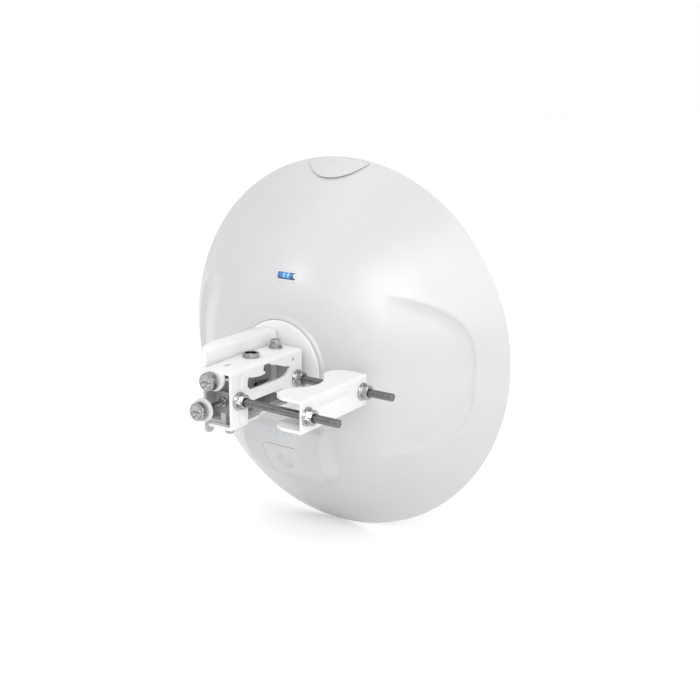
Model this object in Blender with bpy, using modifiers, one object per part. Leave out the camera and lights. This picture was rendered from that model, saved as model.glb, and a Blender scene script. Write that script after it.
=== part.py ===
"""Outdoor point-to-point wireless bridge on a pole mount, built as an assembly.

World axes: +X towards the pole, +Y along the beam, +Z up.  The origin lies in
the middle of the pole seat, on the outer face of the mounting bracket.
All driving dimensions below are in millimetres.
"""
import math

import bmesh
import bpy
from mathutils import Matrix, Vector

MM = 0.001
GAP = 0.3

# ---- dish ----------------------------------------------------------------
DISH_X = -37.5
RIM_Y = 179.0
RIM_R = 215.0
SHELL_T = 3.0
DISH_STEPS = 56
DOME = (
    (31.0, -110.7), (52.2, -110.7), (52.8, -113.6), (55.2, -113.6),
    (57.2, -111.0), (76.0, -107.0), (94.0, -101.5), (107.0, -95.0), (120.0, -87.0),
    (135.0, -76.2), (150.0, -64.0), (165.0, -50.0), (180.0, -35.0),
    (203.0, -12.0), (RIM_R, 0.0),
)
SCOOP_DEPTH = 7.0
SCOOP_TOP = 72.0
SCOOP_BOTTOM = -80.0
SCOOP_OUTER = 187.0
SCOOP_INNER = 98.0
CHIN_TOP = -66.0
CHIN_LIP = -131.5
CHIN_HALF = 54.0
CHIN_PROFILE = ((-60.0, -110.0), (-70.0, -112.0), (-88.0, -112.0), (-98.0, -108.2),
                (-108.0, -103.0), (-119.0, -95.0), (-131.5, -83.5))

# ---- hub and arm ---------------------------------------------------------
HUB_Y = 64.0
HUB_R = 51.8
SPIGOT_R = 30.0
HUB_SCREW_R = 38.0
ARM_FACE_X = -38.5
ARM_BACK_X = -61.5
ARM_TOP = 42.5
ARM_NEAR_Y = -49.0
ARM_WALL = 3.0

# ---- pole bracket --------------------------------------------------------
SHEET = 3.0
TOP_Z = 29.5
BOTTOM_Z = -28.0
NEAR_Y = -57.0
FAR_Y = 55.0
EDGE = 0.12
SEAT_RISE = 0.2
STUD_Y = 46.5
STUD_R = 4.0
STUD_END_X = 114.5

# ---- adjusters -----------------------------------------------------------
PIVOT_X = -22.4
AZ_LIMIT = math.radians(5.5)
AZ_SCREW = (-22.0, 19.4)
AZ_SCREW_R = 2.5
AZ_NUT_Y = -36.0
AZ_TRAVEL_PER_RAD = 40.0
AZ_PIN_R = 1.3
LOCK_POINT = (-24.0, 42.0)
EL_PIVOT = (25.0, 8.0)
EL_LIMIT = math.radians(7.5)
EL_LOCK_Y = -12.0
EL_SCREW = (-25.0, -7.5)

# ---- clamp ---------------------------------------------------------------
CLAMP_X = 79.5
CLAMP_HALF_Y = 54.0
CLAMP_HALF_Z = 16.0

# Frames: the local Z axis of a piece laid along the named world axis.
FRAMES = {
    "Z": Matrix(((1, 0, 0), (0, 1, 0), (0, 0, 1))),
    "X": Matrix(((0, 0, 1), (1, 0, 0), (0, 1, 0))),
    "Y": Matrix(((0, 1, 0), (0, 0, 1), (1, 0, 0))),
}

for stale in list(bpy.data.objects):
    bpy.data.objects.remove(stale, do_unlink=True)

scene = bpy.context.scene
parts = bpy.data.collections.new("outdoor_wireless_bridge")
scene.collection.children.link(parts)
cutters = bpy.data.collections.new("cutters")
scene.collection.children.link(cutters)
cutters.hide_render = True


def material(name, colour, metallic, roughness):
    """One Principled material."""
    made = bpy.data.materials.new(name)
    made.use_nodes = True
    shader = made.node_tree.nodes["Principled BSDF"]
    shader.inputs["Base Color"].default_value = (*colour, 1.0)
    shader.inputs["Metallic"].default_value = metallic
    shader.inputs["Roughness"].default_value = roughness
    return made


KINDS = {
    "white_plastic": ((0.86, 0.87, 0.88), 0.0, 0.35),
    "white_paint": ((0.84, 0.85, 0.86), 0.0, 0.45),
    "steel": ((0.55, 0.54, 0.52), 1.0, 0.3),
    "aluminium": ((0.78, 0.79, 0.8), 1.0, 0.35),
    "dark_plastic": ((0.05, 0.05, 0.055), 0.0, 0.5),
    "rubber": ((0.04, 0.04, 0.04), 0.0, 0.8),
    "board": ((0.03, 0.2, 0.09), 0.0, 0.45),
    "blue_glass": ((0.02, 0.2, 0.6), 0.0, 0.1),
    "clear_glass": ((0.7, 0.8, 0.9), 0.0, 0.15),
}


def finish(obj, kind):
    """Gives a piece its own material and puts it among the parts."""
    obj.data.materials.clear()
    obj.data.materials.append(material("mat_" + obj.name, *KINDS[kind]))
    parts.objects.link(obj)
    return obj


def as_cutter(obj):
    """Hides a helper among the cutters."""
    obj.hide_render = True
    obj.display_type = "WIRE"
    cutters.objects.link(obj)
    return obj


def boolean(obj, other, operation):
    """Adds one Boolean against another solid."""
    step = obj.modifiers.new(operation.title(), "BOOLEAN")
    step.operation = operation
    step.solver = "EXACT"
    step.object = other
    if other.name not in cutters.objects:
        as_cutter(other)
    return obj


def join(obj, *others):
    for other in others:
        boolean(obj, other, "UNION")
    return obj


def cut(obj, *others):
    for other in others:
        boolean(obj, other, "DIFFERENCE")
    return obj


def put(obj, frame, at):
    """Lays a piece in its frame at a point given in millimetres."""
    obj.matrix_world = Matrix.Translation(Vector(at) * MM) @ FRAMES[frame].to_4x4()
    return obj


def turned(name, profile, frame, at, ring=False, steps=20):
    """A profile of (radius, height) pairs turned about the frame's axis."""
    mesh = bpy.data.meshes.new(name)
    points = [(r * MM, 0.0, h * MM) for r, h in profile]
    edges = [(i, i + 1) for i in range(len(points) - 1)]
    if ring:
        edges.append((len(points) - 1, 0))
    mesh.from_pydata(points, edges, [])
    obj = bpy.data.objects.new(name, mesh)
    screw = obj.modifiers.new("Turn", "SCREW")
    screw.steps = steps
    screw.render_steps = steps
    screw.use_merge_vertices = True
    screw.merge_threshold = 0.00001
    screw.use_smooth_shade = False
    return put(obj, frame, at)


def rod(name, radius, low, high, frame, at, steps=20):
    return turned(name, ((0.0, high), (radius, high), (radius, low), (0.0, low)), frame, at, steps=steps)


def flat(name, outline, frame, at, thick, holes=()):
    """A flat outline with holes, given thickness on both sides of its plane."""
    curve = bpy.data.curves.new(name, "CURVE")
    curve.dimensions = "2D"
    curve.fill_mode = "BOTH"
    curve.extrude = 0.5 * thick * MM
    for loop in (outline, *holes):
        spline = curve.splines.new("POLY")
        spline.points.add(len(loop) - 1)
        for point, (u, v) in zip(spline.points, loop):
            point.co = (u * MM, v * MM, 0.0, 1.0)
        spline.use_cyclic_u = True
    drawn = bpy.data.objects.new(name + "_outline", curve)
    scene.collection.objects.link(drawn)
    graph = bpy.context.evaluated_depsgraph_get()
    mesh = bpy.data.meshes.new_from_object(drawn.evaluated_get(graph))
    bpy.data.objects.remove(drawn, do_unlink=True)
    work = bmesh.new()
    work.from_mesh(mesh)
    bmesh.ops.remove_doubles(work, verts=work.verts, dist=0.000001)
    bmesh.ops.recalc_face_normals(work, faces=work.faces)
    work.to_mesh(mesh)
    work.free()
    mesh.name = name
    return put(bpy.data.objects.new(name, mesh), frame, at)


def box(name, low, high):
    """A block between two corners, with its origin at its middle."""
    mesh = bpy.data.meshes.new(name)
    work = bmesh.new()
    bmesh.ops.create_cube(work, size=1.0)
    size = [(b - a) * MM for a, b in zip(low, high)]
    bmesh.ops.scale(work, vec=size, verts=work.verts)
    work.to_mesh(mesh)
    work.free()
    middle = [0.5 * (a + b) for a, b in zip(low, high)]
    return put(bpy.data.objects.new(name, mesh), "Z", middle)


def circle(cu, cv, radius, count=16):
    return [(cu + radius * math.cos(2 * math.pi * i / count),
             cv + radius * math.sin(2 * math.pi * i / count)) for i in range(count)]


def hexagon(flats, turn=0.0):
    radius = flats / math.sqrt(3.0)
    return [(radius * math.cos(turn + math.pi * i / 3.0),
             radius * math.sin(turn + math.pi * i / 3.0)) for i in range(6)]


def slot(path, radius, count=6):
    """The outline of a slot of the given half width along a path of points."""
    left = []
    right = []
    for i, (u, v) in enumerate(path):
        a = path[max(i - 1, 0)]
        b = path[min(i + 1, len(path) - 1)]
        du, dv = b[0] - a[0], b[1] - a[1]
        size = math.hypot(du, dv)
        left.append((u - dv / size * radius, v + du / size * radius))
        right.append((u + dv / size * radius, v - du / size * radius))
    end = []
    for (u, v), (a, b), sign in ((path[-1], path[-2], 1), (path[0], path[1], 1)):
        heading = math.atan2(v - b, u - a)
        end.append([(u + radius * math.cos(heading + sign * (0.5 * math.pi - math.pi * k / count)),
                     v + radius * math.sin(heading + sign * (0.5 * math.pi - math.pi * k / count)))
                    for k in range(1, count)])
    return left + end[0] + right[::-1] + end[1]


def swap(outline):
    """Turns (x, z) pairs into the (z, x) pairs of the Y frame."""
    return [(v, u) for u, v in outline]


def about_pivot(u, v, angle, centre):
    """A point turned about a centre."""
    du, dv = u - centre[0], v - centre[1]
    return (centre[0] + du * math.cos(angle) - dv * math.sin(angle),
            centre[1] + du * math.sin(angle) + dv * math.cos(angle))


def smooth(value):
    value = min(max(value, 0.0), 1.0)
    return value * value * (3.0 - 2.0 * value)


# ---- the shape of the rear shell -----------------------------------------
def table(pairs, value):
    """Straight-line reading between ascending pairs."""
    for (a, fa), (b, fb) in zip(pairs, pairs[1:]):
        if value <= b:
            return fa + (fb - fa) * (value - a) / (b - a)
    return pairs[-1][1]


def dome(radius):
    return table(DOME, max(radius, DOME[0][0]))


def scoop(x, z):
    """Depth of the two hand recesses at the sides of the dome."""
    x = abs(x)
    bow = 12.0 * smooth((x - SCOOP_INNER) / 80.0)
    across = smooth((x - SCOOP_INNER) / 30.0) * smooth((SCOOP_OUTER + 3.0 - math.hypot(x, 0.9 * z)) / 9.0)
    rise = smooth((SCOOP_TOP + 9.0 - bow - z) / 9.0)
    fall = smooth((z - SCOOP_BOTTOM + 9.0 - bow) / 9.0)
    return SCOOP_DEPTH * across * rise * fall


def chin(x, z, base):
    """Surface of the port housing under the hub, or the base where it is lower."""
    if z > CHIN_TOP + 8.0 or z < CHIN_LIP - 2.0:
        return base
    raised = table([(-a, b) for a, b in CHIN_PROFILE], -z)
    side = smooth((CHIN_HALF + 6.0 - abs(x)) / 12.0)
    lip = smooth((z - CHIN_LIP + 2.0) / 2.5)
    top = smooth((CHIN_TOP + 8.0 - z) / 8.0)
    return base + min(raised - base, 0.0) * side * lip * top


def surface(x, z):
    """Rear surface of the shell at a point given from the dish axis."""
    base = dome(math.hypot(x, z)) + scoop(x, z)
    return chin(x, z, base)


# ---- pole bracket --------------------------------------------------------
web_outline = [
    (NEAR_Y, 25.6), (NEAR_Y + 2, TOP_Z - EDGE), (FAR_Y - 3, TOP_Z - EDGE), (FAR_Y, 25.6), (FAR_Y, -24.2),
    (FAR_Y - 3, BOTTOM_Z + EDGE), (34.5, BOTTOM_Z + EDGE), (33.0, -26.6), (33.0, -9.5), (20.0, -5.0),
    (-26.0, -5.0), (-33.0, -9.5), (-33.0, -26.0), (-35.0, BOTTOM_Z + EDGE), (NEAR_Y + 2, BOTTOM_Z + EDGE),
    (NEAR_Y, -26.0),
]
window = [
    (-33.0, 10.5), (-30.0, 7.8), (-26.0, 6.3), (20.0, 6.3), (26.0, 7.2), (32.0, 10.0), (35.5, 13.5),
    (34.0, 15.8), (26.0, 17.0), (18.0, 20.0), (8.0, 23.0), (3.2, 24.2), (2.0, 26.2), (-7.5, 26.2),
    (-9.0, 20.0), (-5.5, 19.6), (-5.2, 17.4), (-14.0, 16.6), (-24.0, 17.6), (-31.5, 19.6), (-33.0, 16.0),
]
bracket = flat("pole_bracket", web_outline, "X", (-0.5 * (SHEET + SEAT_RISE), 0, 0), SHEET - SEAT_RISE,
               holes=(window, circle(40.0, 21.5, 1.8, 10),
                      circle(-STUD_Y, 0.0, STUD_R + GAP), circle(STUD_Y, 0.0, STUD_R + GAP)))
lock_angle = math.atan2(LOCK_POINT[1], LOCK_POINT[0] - PIVOT_X)
lock_radius = math.hypot(LOCK_POINT[1], LOCK_POINT[0] - PIVOT_X)
lock_arc = [(PIVOT_X + lock_radius * math.cos(lock_angle + AZ_LIMIT * t),
             lock_radius * math.sin(lock_angle + AZ_LIMIT * t)) for t in (-1.0, -0.5, 0.0, 0.5, 1.0)]
az_reach = AZ_TRAVEL_PER_RAD * AZ_LIMIT
guide = [(AZ_SCREW[0], AZ_NUT_Y - az_reach), (AZ_SCREW[0], AZ_NUT_Y + az_reach)]
top_outline = [
    (-1.0, -53.0), (-1.0, 53.6), (-3.0, FAR_Y - EDGE), (-24.6, FAR_Y - EDGE), (-33.5, 44.0), (-36.6, 13.0),
    (-36.6, -10.0), (-32.8, -50.0), (-32.8, -54.4), (-34.4, -55.0), (-34.4, -58.0), (-9.1, -58.0),
    (-9.1, -53.0),
]
top_flange = flat("top_flange", top_outline, "Z", (0, 0, TOP_Z - 0.5 * SHEET), SHEET,
                  holes=(circle(PIVOT_X, 0.0, 6.8), slot(lock_arc, 3.4), slot(guide, AZ_PIN_R + GAP)))
bottom_outline = [
    (-1.0, -53.0), (-1.0, -33.4), (-3.0, -31.0), (-0.8, -26.0), (-0.4, -21.0), (-0.8, -16.0),
    (-3.5, -11.0), (-8.0, -5.0), (-10.0, 4.0), (-9.0, 16.0), (-5.0, 28.0), (-1.0, 33.4),
    (-1.0, 53.6), (-3.0, FAR_Y - EDGE), (-24.6, FAR_Y - EDGE), (-33.0, 44.0), (-36.6, 13.0), (-36.6, -34.0),
    (-30.4, -38.5), (-29.2, -53.0),
]
bottom_flange = flat("bottom_flange", bottom_outline, "Z", (0, 0, BOTTOM_Z + 0.5 * SHEET), SHEET,
                     holes=(circle(PIVOT_X, 0.0, 6.8), circle(-11.0, -47.5, 2.8, 12)))
TAB_R = 12.65
tab_outline = [(-34.4, 29.0), (-9.1, 29.0)]
tab_outline += [(-21.75 + TAB_R * math.cos(-math.pi * i / 10), 21.35 + TAB_R * math.sin(-math.pi * i / 10))
                for i in range(11)]
knob_tab = flat("knob_tab", swap(tab_outline), "Y", (0, -56.5, 0), SHEET,
                holes=(circle(AZ_SCREW[1], AZ_SCREW[0], AZ_SCREW_R + GAP, 12),))
seat = box("seat_pad", (-0.5 * SHEET, -24.0, -4.4), (0.0, 18.5, 5.7))
join(bracket, top_flange, bottom_flange, knob_tab, seat)
for level in (18.0, -18.0):
    oval = slot([(-43.0, level - 3.0), (-43.0, level + 3.0)], 3.5, 5)
    cut(bracket, flat("oval_press", oval, "X", (0.3, 0, 0), 2.2))
finish(bracket, "white_paint")

# Studs: full-length threaded bolts whose heads sit inside the bracket.
FLANGE_R = 8.9
NUT_FLATS = 13.0
NUT_H = 8.4


def flange_nut(name, frame_x, y, height):
    """A flange nut with its seat at frame_x, opening towards +X."""
    nut = flat(name, hexagon(NUT_FLATS), "X", (frame_x + 0.5 * (1.0 + height), y, 0), height - 1.0)
    cone = ((0, 3.0), (5.6, 3.0), (FLANGE_R - 0.6, 1.6), (FLANGE_R, 0.9), (FLANGE_R, 0.0), (0, 0))
    seat = turned(name + "_flange", cone, "X", (frame_x, y, 0), steps=18)
    bore = rod(name + "_bore", STUD_R + GAP, -1.0, height + 1.0, "X", (frame_x, y, 0), steps=16)
    join(nut, seat)
    cut(nut, bore)
    return finish(nut, "steel")


for side, y in (("near", -STUD_Y), ("far", STUD_Y)):
    stud = rod("clamp_stud_" + side, STUD_R, -4.0, STUD_END_X, "X", (0, y, 0), steps=16)
    head = flat("stud_head_" + side, hexagon(NUT_FLATS), "X", (-SHEET - GAP - 2.65, y, 0), 5.3)
    join(stud, head)
    finish(stud, "steel")
    flange_nut("bracket_nut_" + side, GAP, y, NUT_H)

# Hollow pivot bushes of the azimuth turntable.
upper_bush = turned("pivot_bush_upper", (
    (6.4, 33.9), (7.9, 33.9), (8.5, 33.3), (8.5, TOP_Z + GAP), (6.5, TOP_Z + GAP), (6.5, 22.9),
    (8.0, 22.9), (8.0, 21.2), (5.0, 21.2), (5.0, 31.0), (6.4, 31.0)),
    "Z", (PIVOT_X, 0, 0), ring=True, steps=24)
finish(upper_bush, "steel")
lower_bush = turned("pivot_bush_lower", (
    (5.0, -19.6), (8.0, -19.6), (8.0, -21.4), (6.5, -21.4), (6.5, BOTTOM_Z - GAP), (8.5, BOTTOM_Z - GAP),
    (8.5, -31.2), (5.0, -31.2)), "Z", (PIVOT_X, 0, 0), ring=True, steps=24)
finish(lower_bush, "steel")

# Earthing screw under the bracket.
ground = flat("ground_screw", hexagon(8.0), "Z", (-11.0, -47.5, -31.9), 3.4)
join(ground, rod("ground_shank", 2.5, -32.0, -25.2, "Z", (-11.0, -47.5, 0), steps=12))
finish(ground, "steel")
washer = turned("ground_washer", ((2.8, -28.3), (5.5, -28.3), (5.5, -29.9), (2.8, -29.9)), "Z",
                (-11.0, -47.5, 0), ring=True, steps=16)
finish(washer, "steel")

# ---- pole clamp ----------------------------------------------------------
clamp = flat("clamp_plate", [(-CLAMP_HALF_Y, -CLAMP_HALF_Z), (CLAMP_HALF_Y, -CLAMP_HALF_Z),
                             (CLAMP_HALF_Y, CLAMP_HALF_Z), (-CLAMP_HALF_Y, CLAMP_HALF_Z)],
             "X", (CLAMP_X - 0.5 * SHEET, 0, 0), SHEET,
             holes=(circle(-STUD_Y, 0.0, STUD_R + GAP), circle(STUD_Y, 0.0, STUD_R + GAP)))
jaw = [
    (CLAMP_X - 1.0, -CLAMP_HALF_Y), (56.0, -CLAMP_HALF_Y), (48.0, -50.0), (43.5, -44.0), (42.5, -37.0),
    (43.5, -32.0), (47.0, -27.0), (53.0, -18.0), (58.0, -10.0), (60.0, 0.0), (58.0, 10.0), (53.0, 18.0),
    (47.0, 27.0), (43.5, 32.0), (42.5, 37.0), (43.5, 44.0), (48.0, 50.0), (56.0, CLAMP_HALF_Y),
    (CLAMP_X - 1.0, CLAMP_HALF_Y),
]
for name, z in (("jaw_top", CLAMP_HALF_Z - 0.5 * SHEET), ("jaw_bottom", 0.5 * SHEET - CLAMP_HALF_Z)):
    join(clamp, flat(name, jaw, "Z", (0, 0, z), SHEET))
rib = slot([(-26.0, 6.0), (20.0, 6.0)], 1.6, 4)
cut(clamp, flat("clamp_rib", rib, "X", (CLAMP_X + 0.4, 0, 0), 2.0))
finish(clamp, "white_paint")
for side, y in (("near", -STUD_Y), ("far", STUD_Y)):
    flange_nut("clamp_nut_" + side, CLAMP_X + GAP, y, NUT_H)

# ---- azimuth adjuster ----------------------------------------------------
KNOB_R = 9.0


def knob(name, x, z, face_y, length):
    """A round finger head with a screwdriver slot in its face."""
    head = turned(name, ((0, length), (4.2, length), (4.2, length - 0.8), (KNOB_R - 0.9, length - 0.8),
                         (KNOB_R, length - 1.7), (KNOB_R, 1.2), (KNOB_R - 1.2, 0.0), (0, 0)),
                  "Y", (x, face_y, z), steps=20)
    return head


az_knob = knob("azimuth_knob", AZ_SCREW[0], AZ_SCREW[1], -68.0, 9.4)
cut(az_knob, box("az_driver_slot", (AZ_SCREW[0] - 5.0, -69.0, AZ_SCREW[1] - 0.7),
                 (AZ_SCREW[0] + 5.0, -66.8, AZ_SCREW[1] + 0.7)))
cut(az_knob, rod("az_knob_bore", AZ_SCREW_R + GAP, 5.0, 10.0, "Y",
                 (AZ_SCREW[0], -68.0, AZ_SCREW[1]), steps=12))
finish(az_knob, "steel")
az_shape = ((0, 35.6), (2.0, 35.6), (AZ_SCREW_R, 35.0), (AZ_SCREW_R, 0.6), (2.0, 0.0), (0, 0))
az_screw = turned("azimuth_screw", az_shape, "Y", (AZ_SCREW[0], -62.6, AZ_SCREW[1]), steps=14)
finish(az_screw, "steel")
az_clip = turned("azimuth_screw_clip", ((2.8, -53.2), (5.0, -53.2), (5.0, -54.7), (2.8, -54.7)),
                 "Y", (AZ_SCREW[0], 0, AZ_SCREW[1]), ring=True, steps=16)
finish(az_clip, "steel")
az_nut = box("azimuth_traveller", (-27.0, -40.5, 14.6), (-17.0, -31.5, 22.9))
join(az_nut, rod("az_pin", AZ_PIN_R, 22.0, 29.0, "Z", (AZ_SCREW[0], AZ_NUT_Y, 0), steps=12))
cut(az_nut, rod("az_nut_bore", AZ_SCREW_R + GAP, -45.0, -25.0, "Y", (AZ_SCREW[0], 0, AZ_SCREW[1]), steps=12))
finish(az_nut, "steel")

# ---- carrier -------------------------------------------------------------
SIDE_X = -36.7
cam = []
for k in range(-3, 4):
    turn = AZ_LIMIT * k / 3.0
    cam.append(about_pivot(AZ_SCREW[0], AZ_NUT_Y + AZ_TRAVEL_PER_RAD * turn, -turn, (PIVOT_X, 0.0)))
side_outline = [
    (-53.0, 26.2), (49.0, 26.2), (49.0, -24.7), (-42.0, -24.7), (-42.0, -34.5), (-43.5, -37.0),
    (-46.0, -38.0), (-49.5, -38.0), (-52.0, -36.8), (-53.0, -34.5),
]
pin_path = [(EL_PIVOT[0] - 2.4, EL_SCREW[1]), (EL_PIVOT[0] + 2.4, EL_SCREW[1])]
carrier = flat("azimuth_carrier", side_outline, "X", (SIDE_X, 0, 0), SHEET,
               holes=(circle(EL_PIVOT[0], EL_PIVOT[1], 4.3), circle(EL_LOCK_Y, EL_PIVOT[1], 3.3, 12),
                      slot(pin_path, 2.4)))
carrier_top = flat("carrier_top", [(-37.5, -50.0), (-11.0, -50.0), (-11.0, 49.0), (-37.5, 49.0)],
                   "Z", (0, 0, 24.7), SHEET,
                   holes=(circle(PIVOT_X, 0.0, 6.8), slot(cam, AZ_PIN_R + GAP),
                          circle(LOCK_POINT[0], LOCK_POINT[1], 3.3, 12)))
carrier_bottom = flat("carrier_bottom", [(-37.5, -51.5), (-13.0, -51.5), (-13.0, 49.0), (-37.5, 49.0)],
                      "Z", (0, 0, -23.2), SHEET, holes=(circle(PIVOT_X, 0.0, 6.8),))
bearing_outline = [(-36.0, -23.0), (-17.0, -23.0), (-17.0, 0.5), (-19.5, 3.0), (-36.0, 3.0)]
bearing = flat("bearing_tab", swap(bearing_outline), "Y", (0, -37.5, 0), SHEET,
               holes=(circle(EL_SCREW[1], EL_SCREW[0], 3.3, 12),))
ear = box("carrier_ear", (-18.5, -51.5, -23.0), (-13.0, -48.9, -13.5))
join(carrier, carrier_top, carrier_bottom, bearing, ear)
finish(carrier, "white_paint")

az_lock = flat("azimuth_lock_bolt", hexagon(10.0), "Z", (*LOCK_POINT, 35.2), 6.4)
join(az_lock, rod("az_lock_shank", 3.0, 14.0, 33.0, "Z", (*LOCK_POINT, 0), steps=12))
join(az_lock, rod("az_lock_rim", 6.0, 32.0, 33.0, "Z", (*LOCK_POINT, 0), steps=16))
finish(az_lock, "steel")
az_washer = turned("azimuth_lock_washer", ((3.3, 31.6), (7.0, 31.6), (7.0, TOP_Z + GAP), (3.3, TOP_Z + GAP)),
                   "Z", (*LOCK_POINT, 0), ring=True, steps=18)
finish(az_washer, "steel")
az_lock_nut = flat("azimuth_lock_nut", hexagon(10.0), "Z", (*LOCK_POINT, 20.3), 5.0,
                   holes=(circle(0, 0, 3.3, 12),))
finish(az_lock_nut, "steel")

el_bolt = rod("elevation_pivot_bolt", STUD_R, -53.0, -34.0, "X", (0, *EL_PIVOT), steps=16)
join(el_bolt, flat("el_pivot_head", hexagon(NUT_FLATS), "X", (-32.4, *EL_PIVOT), 5.0))
finish(el_bolt, "steel")
el_nut = flat("elevation_pivot_nut", hexagon(NUT_FLATS), "X", (-48.2, *EL_PIVOT), 6.5,
              holes=(circle(0, 0, STUD_R + GAP),))
finish(el_nut, "steel")
el_washer = turned("elevation_pivot_washer", ((4.3, -41.8), (8.5, -41.8), (8.5, -44.4), (4.3, -44.4)),
                   "X", (0, *EL_PIVOT), ring=True, steps=18)
finish(el_washer, "steel")
el_lock = rod("elevation_lock_bolt", 3.0, -50.0, -34.0, "X", (0, EL_LOCK_Y, EL_PIVOT[1]), steps=12)
join(el_lock, flat("el_lock_head", hexagon(10.0), "X", (-32.9, EL_LOCK_Y, EL_PIVOT[1]), 4.0))
finish(el_lock, "steel")
el_lock_washer = turned("elevation_lock_washer", ((3.3, -41.8), (7.6, -41.8), (7.6, -43.4), (3.3, -43.4)),
                        "X", (0, EL_LOCK_Y, EL_PIVOT[1]), ring=True, steps=18)
finish(el_lock_washer, "steel")
el_lock_nut = flat("elevation_lock_nut", hexagon(10.0), "X", (-46.2, EL_LOCK_Y, EL_PIVOT[1]), 5.0,
                   holes=(circle(0, 0, 3.3, 12),))
finish(el_lock_nut, "steel")

# ---- elevation adjuster --------------------------------------------------
el_at = (EL_SCREW[0], 0, EL_SCREW[1])
el_knob = knob("elevation_knob", EL_SCREW[0], EL_SCREW[1], -79.0, 8.0)
cut(el_knob, box("el_driver_slot", (EL_SCREW[0] - 5.0, -80.0, EL_SCREW[1] - 0.7),
                 (EL_SCREW[0] + 5.0, -77.8, EL_SCREW[1] + 0.7)))
cut(el_knob, rod("el_knob_bore", 3.3, 4.0, 9.0, "Y", (EL_SCREW[0], -79.0, EL_SCREW[1]), steps=12))
finish(el_knob, "steel")
el_disc = turned("elevation_knob_disc", ((3.3, -67.4), (10.6, -67.4), (11.5, -68.2), (11.5, -70.0),
                                         (10.8, -70.7), (3.3, -70.7)), "Y", el_at, ring=True, steps=24)
finish(el_disc, "white_plastic")
el_shape = ((0, 33.0), (2.4, 33.0), (3.0, 32.4), (3.0, -39.3), (5.0, -39.3), (5.0, -41.5), (3.0, -41.5),
            (3.0, -74.6), (0, -74.6))
el_screw = turned("elevation_screw", el_shape, "Y", el_at, steps=14)
finish(el_screw, "steel")
el_clip = turned("elevation_screw_clip", ((3.3, -34.2), (5.8, -34.2), (5.8, -35.7), (3.3, -35.7)),
                 "Y", el_at, ring=True, steps=16)
finish(el_clip, "steel")
el_traveller = rod("elevation_traveller", 7.0, EL_PIVOT[0] - 5.5, EL_PIVOT[0] + 5.5, "Y", el_at, steps=20)
join(el_traveller, rod("el_pin", 2.0, -44.6, -29.0, "X", (0, EL_PIVOT[0], EL_SCREW[1]), steps=12))
cut(el_traveller, rod("el_nut_bore", 3.3, 10.0, 40.0, "Y", el_at, steps=12))
finish(el_traveller, "steel")

# ---- tilt arm ------------------------------------------------------------
arm_plan = [
    (ARM_FACE_X, ARM_NEAR_Y), (-41.5, ARM_NEAR_Y), (-46.5, -45.5), (-53.0, -37.5), (-58.0, -28.0),
    (-60.5, -18.0), (ARM_BACK_X, -6.0), (ARM_BACK_X, HUB_Y), (ARM_FACE_X, HUB_Y),
]
arm_inner = [
    (ARM_FACE_X - ARM_WALL, -45.8), (-44.8, -43.0), (-50.4, -36.0), (-55.2, -26.6), (-57.5, -17.4),
    (ARM_BACK_X + ARM_WALL, -6.0), (ARM_BACK_X + ARM_WALL, HUB_Y - ARM_WALL),
    (ARM_FACE_X - ARM_WALL, HUB_Y - ARM_WALL),
]
ARM_LOW = -26.0
arm = flat("tilt_arm", arm_plan, "Z", (0, 0, 0.5 * (ARM_TOP + ARM_LOW)), ARM_TOP - ARM_LOW)
hollow_low = ARM_LOW - 4.0
hollow_high = ARM_TOP - ARM_WALL
hollow_mid = 0.5 * (hollow_high + hollow_low)
cut(arm, flat("arm_hollow", arm_inner, "Z", (0, 0, hollow_mid), hollow_high - hollow_low))
underside = [(-60.0, -6.0), (-48.0, -6.0), (-20.0, -16.0), (30.0, -23.0), (55.0, -40.0), (-60.0, -40.0)]
cut(arm, flat("arm_underside", underside, "X", (-50.0, 0, 0), 40.0))
lock_reach = EL_LOCK_Y - EL_PIVOT[0]
el_arc = [(EL_PIVOT[0] + lock_reach * math.cos(EL_LIMIT * t),
           EL_PIVOT[1] + lock_reach * math.sin(EL_LIMIT * t)) for t in (-1.0, -0.5, 0.0, 0.5, 1.0)]
drive = [(EL_PIVOT[0], EL_SCREW[1] - 1.2), (EL_PIVOT[0], EL_SCREW[1] + 1.2)]
face_mid = ARM_FACE_X - 0.5 * ARM_WALL
for name, outline in (("arm_lock_arc", slot(el_arc, 3.4)), ("arm_drive_slot", slot(drive, 2.35)),
                      ("arm_pivot_bore", circle(EL_PIVOT[0], EL_PIVOT[1], STUD_R + GAP))):
    cut(arm, flat(name, outline, "X", (face_mid, 0, 0), ARM_WALL + 1.0))
access = slot([(-12.0, 8.0), (25.0, 8.0)], 13.0, 6)
cut(arm, flat("arm_access", access, "X", (ARM_BACK_X + 0.5 * ARM_WALL, 0, 0), ARM_WALL + 2.0))
finish(arm, "white_paint")

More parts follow.
